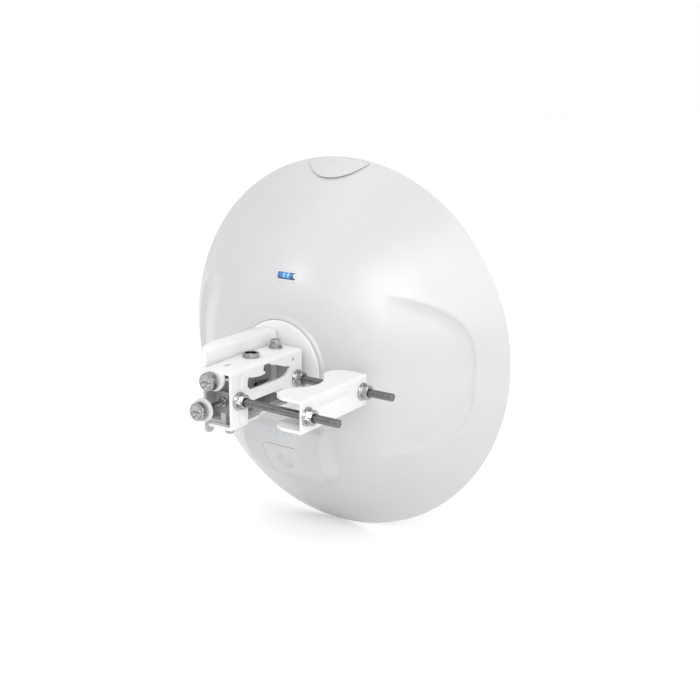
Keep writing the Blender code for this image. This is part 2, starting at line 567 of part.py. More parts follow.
# ---- hub -----------------------------------------------------------------
hub_at = (DISH_X, 0, 0)
SEAT_Y = RIM_Y + DOME[0][1]
hub = turned("hub_plate", ((0, 76.0), (SPIGOT_R, 76.0), (SPIGOT_R, SEAT_Y - GAP), (HUB_R, SEAT_Y - GAP),
                           (HUB_R, HUB_Y + GAP + 0.8), (HUB_R - 0.8, HUB_Y + GAP), (0, HUB_Y + GAP)),
             "Y", hub_at, steps=32)
backing_shape = ((SPIGOT_R + GAP, 75.6), (46.0, 75.6), (46.0, 71.7), (SPIGOT_R + GAP, 71.7))
backing = turned("hub_backing_ring", backing_shape, "Y", hub_at, ring=True, steps=24)
screw_points = [(HUB_SCREW_R * math.cos(math.radians(a)), HUB_SCREW_R * math.sin(math.radians(a)))
                for a in (45.0, 135.0, 225.0, 315.0)]
for number, (x, z) in enumerate(screw_points, 1):
    at = (DISH_X + x, 0, z)
    cut(hub, rod("hub_thread_%d" % number, 2.8, 65.8, 70.0, "Y", at, steps=10))
    cut(backing, rod("backing_hole_%d" % number, 2.8, 70.0, 77.0, "Y", at, steps=10))
    bolt = turned("hub_screw_%d" % number, ((0, 78.9), (4.2, 78.9), (4.5, 78.4), (4.5, 75.9), (2.5, 75.9),
                                            (2.5, 66.2), (0, 66.2)), "Y", at, steps=12)
    finish(bolt, "steel")
finish(hub, "white_paint")
finish(backing, "aluminium")

# ---- rear shell ----------------------------------------------------------
lathe = turned("rear_shell_blank", [(r, y) for r, y in reversed(DOME)], "Z", (0, 0, 0), steps=DISH_STEPS)
scene.collection.objects.link(lathe)
depsgraph = bpy.context.evaluated_depsgraph_get()
shell_mesh = bpy.data.meshes.new_from_object(lathe.evaluated_get(depsgraph))
bpy.data.objects.remove(lathe, do_unlink=True)
form = bmesh.new()
form.from_mesh(shell_mesh)
for vert in form.verts:
    x = vert.co.x / MM
    z = vert.co.y / MM
    radius = math.hypot(x, z)
    level = surface(x, z) if radius > DOME[4][0] - 0.1 else vert.co.z / MM
    vert.co = Vector((x * MM, level * MM, z * MM))
bmesh.ops.recalc_face_normals(form, faces=form.faces)
middle = min(form.faces, key=lambda face: abs(face.calc_center_median().length - 0.12))
if middle.normal.y > 0.0:
    bmesh.ops.reverse_faces(form, faces=form.faces)
form.to_mesh(shell_mesh)
form.free()
shell_mesh.name = "rear_shell"
shell = put(bpy.data.objects.new("rear_shell", shell_mesh), "Z", (DISH_X, RIM_Y, 0))
wall = shell.modifiers.new("Wall", "SOLIDIFY")
wall.thickness = SHELL_T * MM
wall.offset = -1.0
cut(shell, box("shell_front", (DISH_X - 230.0, RIM_Y + EDGE, -230.0), (DISH_X + 230.0, RIM_Y + 20.0, 230.0)))
for number, (x, z) in enumerate(screw_points, 1):
    cut(shell, rod("shell_hole_%d" % number, 2.8, 66.0, 73.0, "Y", (DISH_X + x, 0, z), steps=10))

# Spirit level in its cradle.
LEVEL_Z = 97.0
LEVEL_Y = 78.9
cut(shell, box("level_opening", (DISH_X - 13.3, 70.0, LEVEL_Z - 5.3), (DISH_X + 13.3, 92.0, LEVEL_Z + 5.3)))
cradle = box("level_cradle", (DISH_X - 13.0, LEVEL_Y + 0.6, LEVEL_Z - 5.0),
             (DISH_X + 13.0, LEVEL_Y + 8.0, LEVEL_Z + 5.0))
cut(cradle, box("cradle_pocket", (DISH_X - 12.0, LEVEL_Y - 2.0, LEVEL_Z - 3.9),
                (DISH_X + 12.0, LEVEL_Y + 6.8, LEVEL_Z + 3.9)))
finish(cradle, "white_plastic")
vial = turned("level_vial", ((0, 11.4), (2.4, 11.2), (3.4, 10.0), (3.4, -10.0), (2.4, -11.2), (0, -11.4)),
              "X", (DISH_X, LEVEL_Y + 3.0, LEVEL_Z), steps=18)
finish(vial, "blue_glass")

# Status lights in the chin.
LED_Z = -74.0
LED_X = (-14.0, -5.0, 5.0, 14.0)
pipe = box("led_light_pipe", (DISH_X - 17.0, 72.2, LED_Z - 2.0), (DISH_X + 17.0, 75.2, LED_Z + 2.0))
for number, x in enumerate(LED_X, 1):
    join(pipe, rod("led_peg_%d" % number, 1.2, 67.1, 73.0, "Y", (DISH_X + x, 0, LED_Z), steps=10))
    cut(shell, rod("led_hole_%d" % number, 1.5, 60.0, 73.0, "Y", (DISH_X + x, 0, LED_Z), steps=10))
finish(pipe, "clear_glass")

# ---- port cover ----------------------------------------------------------
DOOR_TOP = -88.0
DOOR_LOW = -130.5
DOOR_HALF = 26.7
DOOR_T = 2.2
DOOR_RELIEF = 0.4
THUMB_TILT = 31.0
DOOR_CORNER = 8.0


def door_half(z):
    """Half width of the port cover at a height, with its rounded top corners."""
    drop = DOOR_TOP - z
    if drop >= DOOR_CORNER:
        return DOOR_HALF
    sag = math.sqrt(max(DOOR_CORNER ** 2 - (DOOR_CORNER - drop) ** 2, 0.0))
    return DOOR_HALF - DOOR_CORNER + sag


def loft(name, point, near, far, rows, columns):
    """A closed sheet between two surfaces, over a plan region read as point(u, v)."""
    mesh = bpy.data.meshes.new(name)
    work = bmesh.new()
    sheets = []
    for level in (near, far):
        grid = []
        for i in range(rows + 1):
            row = []
            for j in range(columns + 1):
                u = 2.0 * j / columns - 1.0
                v = i / rows
                x, z = point(u, v)
                row.append(work.verts.new((x * MM, level(u, v, x, z) * MM, z * MM)))
            grid.append(row)
        sheets.append(grid)
        for i in range(rows):
            for j in range(columns):
                work.faces.new((grid[i][j], grid[i][j + 1], grid[i + 1][j + 1], grid[i + 1][j]))
    loops = []
    for grid in sheets:
        loop = grid[0][:-1] + [row[-1] for row in grid[:-1]]
        loop += grid[-1][:0:-1] + [row[0] for row in grid[:0:-1]]
        loops.append(loop)
    count = len(loops[0])
    for k in range(count):
        n = (k + 1) % count
        work.faces.new((loops[0][k], loops[0][n], loops[1][n], loops[1][k]))
    bmesh.ops.recalc_face_normals(work, faces=work.faces)
    work.to_mesh(mesh)
    work.free()
    return put(bpy.data.objects.new(name, mesh), "Z", (DISH_X, RIM_Y, 0))


def cover_point(u, v):
    """Plan position on the port cover, from its top edge down."""
    z = DOOR_TOP - DOOR_RELIEF + (DOOR_LOW - DOOR_TOP + DOOR_RELIEF) * v
    return door_half(z) * u, z


def chin_level(x, z):
    """The port housing's own surface, without its rounded borders."""
    return table([(-a, b) for a, b in CHIN_PROFILE], -z)


cover = loft("port_cover", cover_point, lambda u, v, x, z: chin_level(x, z),
             lambda u, v, x, z: chin_level(x, z) + DOOR_T, 12, 8)
thumb = turned("thumb_dimple", ((0, 8.0), (9.6, 8.0), (9.6, 0.0), (7.0, -1.0), (0, -1.3)), "Y",
               (DISH_X, 0, 0), steps=20)
thumb.matrix_world = (Matrix.Translation(Vector((DISH_X, RIM_Y - 102.7, -108.5)) * MM)
                      @ Matrix.Rotation(math.radians(90.0 + THUMB_TILT), 4, "X"))
cut(cover, thumb)
finish(cover, "white_plastic")
opening = []
for i in range(9):
    z = DOOR_TOP - DOOR_CORNER * i / 8
    opening.append((DISH_X - door_half(z - DOOR_RELIEF) - GAP, z))
opening += [(DISH_X - DOOR_HALF - GAP, CHIN_LIP - 1.5), (DISH_X + DOOR_HALF + GAP, CHIN_LIP - 1.5)]
for i in range(8, -1, -1):
    z = DOOR_TOP - DOOR_CORNER * i / 8
    opening.append((DISH_X + door_half(z - DOOR_RELIEF) + GAP, z))
cut(shell, flat("port_opening", swap(opening), "Y", (0, 78.0, 0), 52.0))
finish(shell, "white_plastic")

# ---- electronics ---------------------------------------------------------
BOARD_Y = 82.0
board = flat("main_board", swap([(DISH_X - 52.0, 66.0), (DISH_X + 52.0, 66.0), (DISH_X + 52.0, -58.0),
                                 (DISH_X + 34.0, -92.0), (DISH_X - 34.0, -92.0), (DISH_X - 52.0, -58.0)]),
             "Y", (0, BOARD_Y + 0.8, 0), 1.6)
finish(board, "board")
spreader = box("heat_spreader", (DISH_X - 45.0, 79.4, -52.0), (DISH_X + 45.0, 81.7, 56.0))
finish(spreader, "aluminium")
shield = box("radio_shield", (DISH_X - 40.0, 83.9, -44.0), (DISH_X + 40.0, 88.0, 50.0))
finish(shield, "steel")
jack = box("data_jack", (DISH_X - 24.0, 83.9, -96.0), (DISH_X - 8.0, 96.9, -78.0))
cut(jack, box("jack_mouth", (DISH_X - 22.3, 86.5, -98.0), (DISH_X - 9.7, 95.4, -82.0)))
finish(jack, "steel")
cage = box("fibre_cage", (DISH_X + 3.0, 83.9, -96.0), (DISH_X + 17.5, 93.9, -50.0))
cut(cage, box("cage_mouth", (DISH_X + 3.8, 84.8, -98.0), (DISH_X + 16.7, 93.0, -54.0)))
finish(cage, "steel")
switch = box("reset_switch", (DISH_X - 3.0, 78.6, -91.9), (DISH_X + 3.0, 81.7, -86.5))
cut(switch, rod("switch_bore", 1.9, 77.0, 81.3, "Y", (DISH_X, 0, -89.9), steps=12))
finish(switch, "dark_plastic")
button = rod("reset_button", 1.6, 75.4, 80.5, "Y", (DISH_X, 0, -89.9), steps=12)
finish(button, "dark_plastic")

# ---- antenna -------------------------------------------------------------
VERTEX_Y = 95.2
FOCAL = 126.4
REFLECTOR_T = 1.5
bowl = [12.0, 62.0, 108.0, 153.0, 195.5]
outer = [(r, VERTEX_Y + r * r / (4.0 * FOCAL)) for r in bowl]
inner = [(r, y + REFLECTOR_T) for r, y in outer]
reflector = turned("main_reflector", inner + outer[::-1], "Y", hub_at, ring=True, steps=36)
finish(reflector, "aluminium")
horn = turned("feed_horn", ((0, 90.4), (7.5, 90.4), (7.5, 116.0), (13.0, 134.0), (15.0, 134.0), (15.0, 132.5),
                            (9.5, 116.0), (9.5, 88.4), (0, 88.4)), "Y", hub_at, steps=20)
finish(horn, "aluminium")
splash_shape = ((0, 182.9), (20.0, 182.7), (32.0, 180.0), (32.0, 178.4), (20.0, 172.5), (8.0, 169.4),
                (0, 168.8))
splash = turned("sub_reflector", splash_shape, "Y", hub_at, steps=28)
finish(splash, "aluminium")
radome = turned("front_radome", (
    (0, 187.4), (100.0, 186.6), (180.0, 184.4), (204.0, 182.8), (213.6, 180.8),
    (213.6, RIM_Y + EDGE + GAP), (205.0, RIM_Y + EDGE + GAP), (200.0, 180.6), (100.0, 183.8),
    (0, 184.6)), "Y", hub_at, steps=48)
finish(radome, "white_plastic")
gasket = turned("rim_gasket", ((202.2, 178.4), (205.4, 178.4), (205.4, 175.4), (202.2, 175.4)), "Y", hub_at,
                ring=True, steps=36)
finish(gasket, "rubber")

# ---- antenna cap at the top of the rim -----------------------------------
CAP_HALF = 39.0
CAP_LOW = 194.0
CAP_PROUD = 5.0


def cap_point(u, v):
    """Plan position in the lens-shaped cap, from its lower lip to the rim."""
    x = CAP_HALF * u
    rim = math.sqrt(213.4 ** 2 - x * x)
    lip = CAP_LOW + (math.sqrt(213.4 ** 2 - CAP_HALF ** 2) - 1.2 - CAP_LOW) * abs(u) ** 2.2
    return x, lip + (rim - lip) * v


def cap_rise(u, v):
    """How far the cap stands off the dome."""
    rise = (1.0 - abs(u) ** 2.4) * (0.45 + 0.55 * smooth(1.6 * v + 0.4)) * (1.0 - 0.35 * v)
    return 1.0 + (CAP_PROUD - 1.0) * rise


def cap_seat(u, v, x, z):
    """The cap's inner face, just clear of the dome."""
    return dome(math.hypot(x, z)) - 2.0 * GAP


cap = loft("antenna_cap", cap_point, cap_seat,
           lambda u, v, x, z: cap_seat(u, v, x, z) - cap_rise(u, v), 5, 16)
finish(cap, "white_plastic")
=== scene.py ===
import math

import bmesh
import bpy
from mathutils import Matrix, Vector


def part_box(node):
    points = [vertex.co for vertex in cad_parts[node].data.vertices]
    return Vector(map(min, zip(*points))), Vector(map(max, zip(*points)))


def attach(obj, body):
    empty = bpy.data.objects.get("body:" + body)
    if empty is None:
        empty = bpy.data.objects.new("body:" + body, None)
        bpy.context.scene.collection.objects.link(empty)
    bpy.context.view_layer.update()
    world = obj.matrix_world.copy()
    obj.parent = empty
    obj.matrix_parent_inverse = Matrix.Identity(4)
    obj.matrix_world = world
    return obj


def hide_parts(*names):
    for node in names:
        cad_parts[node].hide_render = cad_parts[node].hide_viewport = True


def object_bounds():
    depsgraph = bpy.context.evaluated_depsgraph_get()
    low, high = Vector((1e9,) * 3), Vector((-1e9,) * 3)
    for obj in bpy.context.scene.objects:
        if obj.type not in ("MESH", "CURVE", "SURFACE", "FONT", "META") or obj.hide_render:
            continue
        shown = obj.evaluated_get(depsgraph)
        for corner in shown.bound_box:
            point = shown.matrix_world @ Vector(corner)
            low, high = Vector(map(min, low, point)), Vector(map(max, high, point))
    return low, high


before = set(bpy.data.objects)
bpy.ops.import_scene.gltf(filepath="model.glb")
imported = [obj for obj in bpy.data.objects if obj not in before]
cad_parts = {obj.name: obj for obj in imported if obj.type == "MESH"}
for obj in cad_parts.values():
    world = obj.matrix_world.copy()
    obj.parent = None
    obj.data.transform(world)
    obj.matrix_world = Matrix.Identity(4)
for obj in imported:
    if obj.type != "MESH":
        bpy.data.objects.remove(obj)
cad_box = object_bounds()

MM = 0.001


def corners(name):
    """Low and high corners of a CAD piece in millimetres."""
    return [[round(value / MM, 2) for value in corner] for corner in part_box(name)]


def centre(name):
    """Middle of a CAD piece in millimetres."""
    low, high = corners(name)
    return [round(0.5 * (a + b), 2) for a, b in zip(low, high)]


# Lengths are in millimetres. X points from the dish axis to the pole, Y out of the front, Z up.
DISH_X = centre("rear_shell")[0]
RIM_R = 0.5 * (corners("rear_shell")[1][0] - corners("rear_shell")[0][0])
RIM_OVERLAP = 0.12
RIM_Y = round(corners("rear_shell")[1][1] - RIM_OVERLAP, 2)
LEVEL_Z = centre("level_vial")[2]
LEVEL_Y = round(centre("level_vial")[1] - 3.0, 2)
LOW_Z = corners("pole_bracket")[0][2]
TOP_Z = corners("pole_bracket")[1][2]
PIVOT_X = centre("pivot_bush_upper")[0]
STUD_Y = centre("clamp_stud_far")[1]
CLAMP_X = corners("clamp_plate")[1][0]
TILT_Y, TILT_Z = centre("elevation_pivot_bolt")[1:]
EARTH_X, EARTH_Y = centre("ground_screw")[:2]
LOCK_X, LOCK_Y = centre("azimuth_lock_bolt")[:2]
AZ_KNOB = centre("azimuth_knob")
EL_KNOB = centre("elevation_knob")
SHEET = 3.0
STUD_HOLE_R = 4.3
PIVOT_HOLE_R = 6.8
LOCK_HOLE_R = 3.3
AZ_SWING = math.radians(5.5)
EL_SWING = math.radians(7.5)
FRAMES = {
    "Z": Matrix(((1, 0, 0), (0, 1, 0), (0, 0, 1))),
    "X": Matrix(((0, 0, 1), (1, 0, 0), (0, 1, 0))),
    "Y": Matrix(((0, 1, 0), (0, 0, 1), (1, 0, 0))),
}
scene = bpy.context.scene
work_area = bpy.data.collections.new("pieces")
scene.collection.children.link(work_area)


# ---- materials -----------------------------------------------------------
def node(tree, kind, **values):
    made = tree.nodes.new(kind)
    for key, value in values.items():
        if hasattr(made, key):
            setattr(made, key, value)
        else:
            made.inputs[key.replace("_", " ")].default_value = value
    return made


def surface_material(name, low, high, rough, metallic=0.0, grain=900.0, bump=0.02, spread=0.05,
                     edge=0.0, stretch=(1.0, 1.0, 1.0), coat=0.0, patch=30.0):
    """A Principled material whose colour, roughness and relief come from noise."""
    made = bpy.data.materials.new(name)
    made.use_nodes = True
    tree = made.node_tree
    shader = tree.nodes["Principled BSDF"]
    shader.inputs["Metallic"].default_value = metallic
    shader.inputs["Coat Weight"].default_value = coat
    shader.inputs["Coat Roughness"].default_value = 0.25
    place = node(tree, "ShaderNodeTexCoord")
    mapping = node(tree, "ShaderNodeMapping")
    mapping.inputs["Scale"].default_value = stretch
    tree.links.new(place.outputs["Object"], mapping.inputs["Vector"])
    broad = node(tree, "ShaderNodeTexNoise", Scale=patch, Detail=3.0)
    fine = node(tree, "ShaderNodeTexNoise", Scale=grain, Detail=2.0)
    tree.links.new(mapping.outputs["Vector"], broad.inputs["Vector"])
    tree.links.new(mapping.outputs["Vector"], fine.inputs["Vector"])
    ramp = node(tree, "ShaderNodeValToRGB")
    ramp.color_ramp.elements[0].position = 0.3
    ramp.color_ramp.elements[0].color = (*low, 1.0)
    ramp.color_ramp.elements[1].position = 0.7
    ramp.color_ramp.elements[1].color = (*high, 1.0)
    tree.links.new(broad.outputs["Fac"], ramp.inputs["Fac"])
    tree.links.new(ramp.outputs["Color"], shader.inputs["Base Color"])
    span = node(tree, "ShaderNodeMapRange")
    span.inputs["To Min"].default_value = rough - spread
    span.inputs["To Max"].default_value = rough + spread
    tree.links.new(fine.outputs["Fac"], span.inputs["Value"])
    tree.links.new(span.outputs["Result"], shader.inputs["Roughness"])
    relief = node(tree, "ShaderNodeBump")
    relief.inputs["Strength"].default_value = bump
    relief.inputs["Distance"].default_value = 0.0004
    tree.links.new(fine.outputs["Fac"], relief.inputs["Height"])
    if edge:
        rounding = node(tree, "ShaderNodeBevel", samples=6)
        rounding.inputs["Radius"].default_value = edge
        tree.links.new(rounding.outputs["Normal"], relief.inputs["Normal"])
    tree.links.new(relief.outputs["Normal"], shader.inputs["Normal"])
    return made


M = {
    "white_plastic": surface_material("shell plastic", (0.44, 0.445, 0.453), (0.455, 0.46, 0.468), 0.34,
                                      grain=700.0,
                                      bump=0.015, coat=0.15),
    "white_trim": surface_material("moulded trim", (0.50, 0.505, 0.513), (0.52, 0.525, 0.533), 0.4,
                                   grain=900.0,
                                   bump=0.02, edge=0.0004),
    "white_paint": surface_material("powder coat", (0.62, 0.625, 0.63), (0.65, 0.655, 0.66), 0.45,
                                    grain=1400.0,
                                    bump=0.08, edge=0.0009, coat=0.1),
    "steel": surface_material("stainless", (0.27, 0.272, 0.272), (0.44, 0.442, 0.442), 0.16, metallic=1.0,
                              grain=1800.0,
                              bump=0.03, spread=0.06, edge=0.0003, patch=60.0),
    "screw_steel": surface_material("threaded steel", (0.13, 0.13, 0.13), (0.19, 0.19, 0.19), 0.2,
                                    metallic=1.0,
                                    grain=2500.0, bump=0.04, patch=200.0),
    "aluminium": surface_material("aluminium", (0.66, 0.67, 0.68), (0.76, 0.77, 0.78), 0.38, metallic=1.0,
                                  grain=500.0, bump=0.03, stretch=(1.0, 1.0, 6.0)),
    "dark_plastic": surface_material("dark plastic", (0.02, 0.02, 0.022), (0.035, 0.035, 0.038), 0.5,
                                     bump=0.05),
    "rubber": surface_material("rubber", (0.015, 0.015, 0.015), (0.03, 0.03, 0.03), 0.75, bump=0.1),
    "board": surface_material("solder mask", (0.01, 0.09, 0.04), (0.02, 0.13, 0.06), 0.4, grain=400.0,
                              bump=0.1),
    "clear": surface_material("light pipe", (0.52, 0.64, 0.76), (0.60, 0.72, 0.82), 0.25, grain=600.0,
                              bump=0.02),
}


def vial_material():
    """Blue liquid with a pale bubble and end marks along the tube; it darkens towards its ends, most towards
    +X, and the white stop at the +X end is a painted highlight.
    """
    made = bpy.data.materials.new("level liquid")
    made.use_nodes = True
    tree = made.node_tree
    shader = tree.nodes["Principled BSDF"]
    shader.inputs["Roughness"].default_value = 0.12
    shader.inputs["Coat Weight"].default_value = 0.6
    place = node(tree, "ShaderNodeTexCoord")
    split = node(tree, "ShaderNodeSeparateXYZ")
    tree.links.new(place.outputs["Object"], split.inputs["Vector"])
    ramp = node(tree, "ShaderNodeValToRGB")
    ramp.color_ramp.interpolation = "EASE"
    # The last stop, white at the +X end, is a painted highlight; the blue darkens towards the ends, most
    # towards +X.
    stops = ((0.0, (0.01, 0.10, 0.34)), (0.30, (0.015, 0.16, 0.50)), (0.36, (0.30, 0.55, 0.80)),
             (0.42, (0.02, 0.20, 0.56)), (0.55, (0.02, 0.22, 0.60)), (0.60, (0.35, 0.60, 0.84)),
             (0.66, (0.012, 0.12, 0.40)), (0.90, (0.008, 0.06, 0.22)), (0.93, (0.75, 0.80, 0.84)))
    while len(ramp.color_ramp.elements) < len(stops):
        ramp.color_ramp.elements.new(0.5)
    for element, (position, colour) in zip(ramp.color_ramp.elements, stops):
        element.position = position
        element.color = (*colour, 1.0)
    span = node(tree, "ShaderNodeMapRange")
    span.inputs["From Min"].default_value = -0.0114
    span.inputs["From Max"].default_value = 0.0114
    tree.links.new(split.outputs["Z"], span.inputs["Value"])
    tree.links.new(span.outputs["Result"], ramp.inputs["Fac"])
    tree.links.new(ramp.outputs["Color"], shader.inputs["Base Color"])
    return made


M["vial"] = vial_material()
# Darker grey for the azimuth carrier: painted shade standing for the shadow inside the pole bracket.
M["carrier_painted_shade"] = surface_material("carrier painted shade", (0.36, 0.362, 0.365), (0.40, 0.402, 0.405), 0.5,
                                      grain=1400.0,
                                      bump=0.08, edge=0.0006)
M["turned_steel"] = surface_material("turned steel", (0.22, 0.222, 0.222), (0.44, 0.442, 0.442), 0.22,
                                     metallic=1.0,
                                     grain=2200.0, bump=0.12, spread=0.1, edge=0.0003, patch=260.0)


# ---- mesh helpers --------------------------------------------------------
def put(obj, axis, at):
    obj.matrix_world = Matrix.Translation(Vector(at) * MM) @ FRAMES[axis].to_4x4()
    work_area.objects.link(obj)
    return obj


def soften(mesh, angle=32.0):
    mesh.shade_smooth()
    mesh.set_sharp_from_angle(angle=math.radians(angle))


def hex_radius(flats, turn):
    sector = math.pi / 3.0
    return 0.5 * flats / math.cos((turn % sector) - 0.5 * sector)


def revolve(name, profile, axis, at, steps=64, flats=0.0, ripple=0, depth=0.0):
    """A turned piece. A profile entry is (radius, height) with an optional letter:
    h limits the radius to a hexagon and k adds a knurl."""
    mesh = bpy.data.meshes.new(name)
    verts = []
    faces = []
    rows = []
    for entry in profile:
        radius, height = entry[0], entry[1]
        kind = entry[2] if len(entry) > 2 else ""
        if radius == 0.0:
            rows.append([len(verts)])
            verts.append((0.0, 0.0, height * MM))
            continue
        row = []
        for i in range(steps):
            turn = 2.0 * math.pi * i / steps
            r = radius
            if kind == "h":
                r = min(r, hex_radius(flats, turn))
            if kind == "k":
                r -= depth * (0.5 + 0.5 * math.cos(ripple * turn))
            row.append(len(verts))
            verts.append((r * math.cos(turn) * MM, r * math.sin(turn) * MM, height * MM))
        rows.append(row)
    closed = profile[0][0] != 0.0
    pairs = list(zip(rows, rows[1:]))
    if closed:
        pairs.append((rows[-1], rows[0]))
    for a, b in pairs:
        for i in range(steps):
            n = (i + 1) % steps
            if len(a) == 1:
                faces.append((a[0], b[i], b[n]))
            elif len(b) == 1:
                faces.append((a[i], b[0], a[n]))
            else:
                faces.append((a[i], b[i], b[n], a[n]))
    mesh.from_pydata(verts, [], faces)
    form = bmesh.new()
    form.from_mesh(mesh)
    bmesh.ops.recalc_face_normals(form, faces=form.faces)
    form.to_mesh(mesh)
    form.free()
    soften(mesh)
    return put(bpy.data.objects.new(name, mesh), axis, at)


def rounded(outline, radii, count=5):
    """Rounds the corners of an outline. radii is one radius or a dictionary by corner."""
    result = []
    size = len(outline)
    for i, corner in enumerate(outline):
        radius = radii.get(i, 0.0) if isinstance(radii, dict) else radii
        here = Vector(corner)
        before = Vector(outline[i - 1]) - here
        after = Vector(outline[(i + 1) % size]) - here
        if radius <= 0.0 or before.length < 1e-6 or after.length < 1e-6:
            result.append(tuple(here))
            continue
        angle = before.angle(after)
        if angle > math.radians(176.0):
            result.append(tuple(here))
            continue
        reach = min(radius / math.tan(0.5 * angle), 0.45 * before.length, 0.45 * after.length)
        a = here + before.normalized() * reach
        b = here + after.normalized() * reach
        for k in range(count + 1):
            t = k / count
            point = a * (1.0 - t) ** 2 + here * 2.0 * t * (1.0 - t) + b * t * t
            result.append(tuple(point))
    return result


def flat_mesh(name, outline, thick, holes=()):
    curve = bpy.data.curves.new(name, "CURVE")
    curve.dimensions = "2D"
    curve.fill_mode = "BOTH"
    curve.extrude = 0.5 * thick * MM
    for loop in (outline, *holes):
        spline = curve.splines.new("POLY")
        spline.points.add(len(loop) - 1)
        for point, (u, v) in zip(spline.points, loop):
            point.co = (u * MM, v * MM, 0.0, 1.0)
        spline.use_cyclic_u = True
    drawn = bpy.data.objects.new(name + "_outline", curve)
    scene.collection.objects.link(drawn)
    graph = bpy.context.evaluated_depsgraph_get()
    mesh = bpy.data.meshes.new_from_object(drawn.evaluated_get(graph))
    bpy.data.objects.remove(drawn, do_unlink=True)
    form = bmesh.new()
    form.from_mesh(mesh)
    bmesh.ops.remove_doubles(form, verts=form.verts, dist=0.000001)
    bmesh.ops.recalc_face_normals(form, faces=form.faces)
    form.to_mesh(mesh)
    form.free()
    return mesh


def flat(name, outline, axis, at, thick, holes=()):
    return put(bpy.data.objects.new(name, flat_mesh(name, outline, thick, holes)), axis, at)


def block(name, low, high):
    mesh = bpy.data.meshes.new(name)
    form = bmesh.new()
    bmesh.ops.create_cube(form, size=1.0)
    bmesh.ops.scale(form, vec=[(b - a) * MM for a, b in zip(low, high)], verts=form.verts)
    form.to_mesh(mesh)
    form.free()
    return put(bpy.data.objects.new(name, mesh), "Z", [0.5 * (a + b) for a, b in zip(low, high)])


def circle(cu, cv, radius, count=40):
    return [(cu + radius * math.cos(2 * math.pi * i / count),
             cv + radius * math.sin(2 * math.pi * i / count)) for i in range(count)]


def slot_outline(path, radius, count=12):
    left, right = [], []
    for i, (u, v) in enumerate(path):
        a, b = path[max(i - 1, 0)], path[min(i + 1, len(path) - 1)]
        du, dv = b[0] - a[0], b[1] - a[1]
        size = math.hypot(du, dv)
        left.append((u - dv / size * radius, v + du / size * radius))
        right.append((u + dv / size * radius, v - du / size * radius))
    ends = []
    for (u, v), (a, b) in ((path[-1], path[-2]), (path[0], path[1])):
        heading = math.atan2(v - b, u - a)
        ends.append([(u + radius * math.cos(heading + 0.5 * math.pi - math.pi * k / count),
                      v + radius * math.sin(heading + 0.5 * math.pi - math.pi * k / count))
                     for k in range(1, count)])
    return left + ends[0] + right[::-1] + ends[1]


def prism(name, outline, axis, at, thick, bevel=0.0, top_only=False):
    """A plate with the given outline, with its outer edges rounded if asked."""
    mesh = bpy.data.meshes.new(name)
    form = bmesh.new()
    half = 0.5 * thick * MM
    low = [form.verts.new((u * MM, v * MM, -half)) for u, v in outline]
    high = [form.verts.new((u * MM, v * MM, half)) for u, v in outline]
    form.faces.new(low[::-1])
    form.faces.new(high)
    count = len(outline)
    for i in range(count):
        n = (i + 1) % count
        form.faces.new((low[i], low[n], high[n], high[i]))
    bmesh.ops.recalc_face_normals(form, faces=form.faces)
    if bevel:
        chosen = [edge for edge in form.edges
                  if abs(edge.verts[0].co.z - edge.verts[1].co.z) < 1e-9
                  and (edge.verts[0].co.z > 0.0 or not top_only)]
        bmesh.ops.bevel(form, geom=chosen, offset=bevel * MM, segments=5, profile=0.5, affect="EDGES",
                        clamp_overlap=True)
    form.to_mesh(mesh)
    form.free()
    return put(bpy.data.objects.new(name, mesh), axis, at)


def press_mark(name, path, radius, depth):
    """A shallow rounded press mark for the face of the web."""
    return prism(name, slot_outline(path, radius), "X", (0.5, 0, 0), 1.0 + 2.0 * depth, 0.5)


def swap(outline):
    return [(v, u) for u, v in outline]


def combine(base, others, operation):
    """Applies Booleans against other pieces, which are then removed."""
    for other in others:
        step = base.modifiers.new("b", "BOOLEAN")
        step.operation = operation
        step.solver = "EXACT"
        step.object = other
    bpy.context.view_layer.update()
    graph = bpy.context.evaluated_depsgraph_get()
    mesh = bpy.data.meshes.new_from_object(base.evaluated_get(graph))
    base.modifiers.clear()
    base.data = mesh
    for other in others:
        bpy.data.objects.remove(other, do_unlink=True)
    return base


def dress(obj, body, nodes, finish_name, angle=32.0):
    """Gives a piece its finish and sets it in place of its CAD nodes."""
    soften(obj.data, angle)
    obj.data.materials.clear()
    obj.data.materials.append(M[finish_name])
    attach(obj, body)
    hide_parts(*nodes)
    return obj


def smooth(value):
    value = min(max(value, 0.0), 1.0)
    return value * value * (3.0 - 2.0 * value)


def curve_through(pairs):
    """A smooth monotone curve through ascending pairs."""
    xs = [p[0] for p in pairs]
    ys = [p[1] for p in pairs]
    steps = [(ys[i + 1] - ys[i]) / (xs[i + 1] - xs[i]) for i in range(len(xs) - 1)]
    slopes = [steps[0]]
    for a, b in zip(steps, steps[1:]):
        slopes.append(0.0 if a * b <= 0.0 else 2.0 * a * b / (a + b))
    slopes.append(steps[-1])

    def read(value):
        value = min(max(value, xs[0]), xs[-1])
        i = 0
        while i < len(xs) - 2 and value > xs[i + 1]:
            i += 1
        h = xs[i + 1] - xs[i]
        t = (value - xs[i]) / h
        return (ys[i] * (1 + 2 * t) * (1 - t) ** 2 + slopes[i] * h * t * (1 - t) ** 2
                + ys[i + 1] * t * t * (3 - 2 * t) + slopes[i + 1] * h * t * t * (t - 1))
    return read


# ---- the rear shell ------------------------------------------------------
dome = curve_through(((57.2, -111.0), (76.0, -107.0), (94.0, -101.5), (107.0, -95.0), (120.0, -87.0),
                      (135.0, -76.2), (150.0, -64.0), (165.0, -50.0), (180.0, -35.0), (203.0, -12.0),
                      (RIM_R, 0.0)))
SCOOP_INNER = 96.0
SCOOP_OUTER = 188.3
SCOOP_CENTRE_X = 95.0
SCOOP_MID_Z = -2.0
SCOOP_STEPS = 18
SCOOP_DEPTH = 7.5
SCOOP_WALL = 15.0


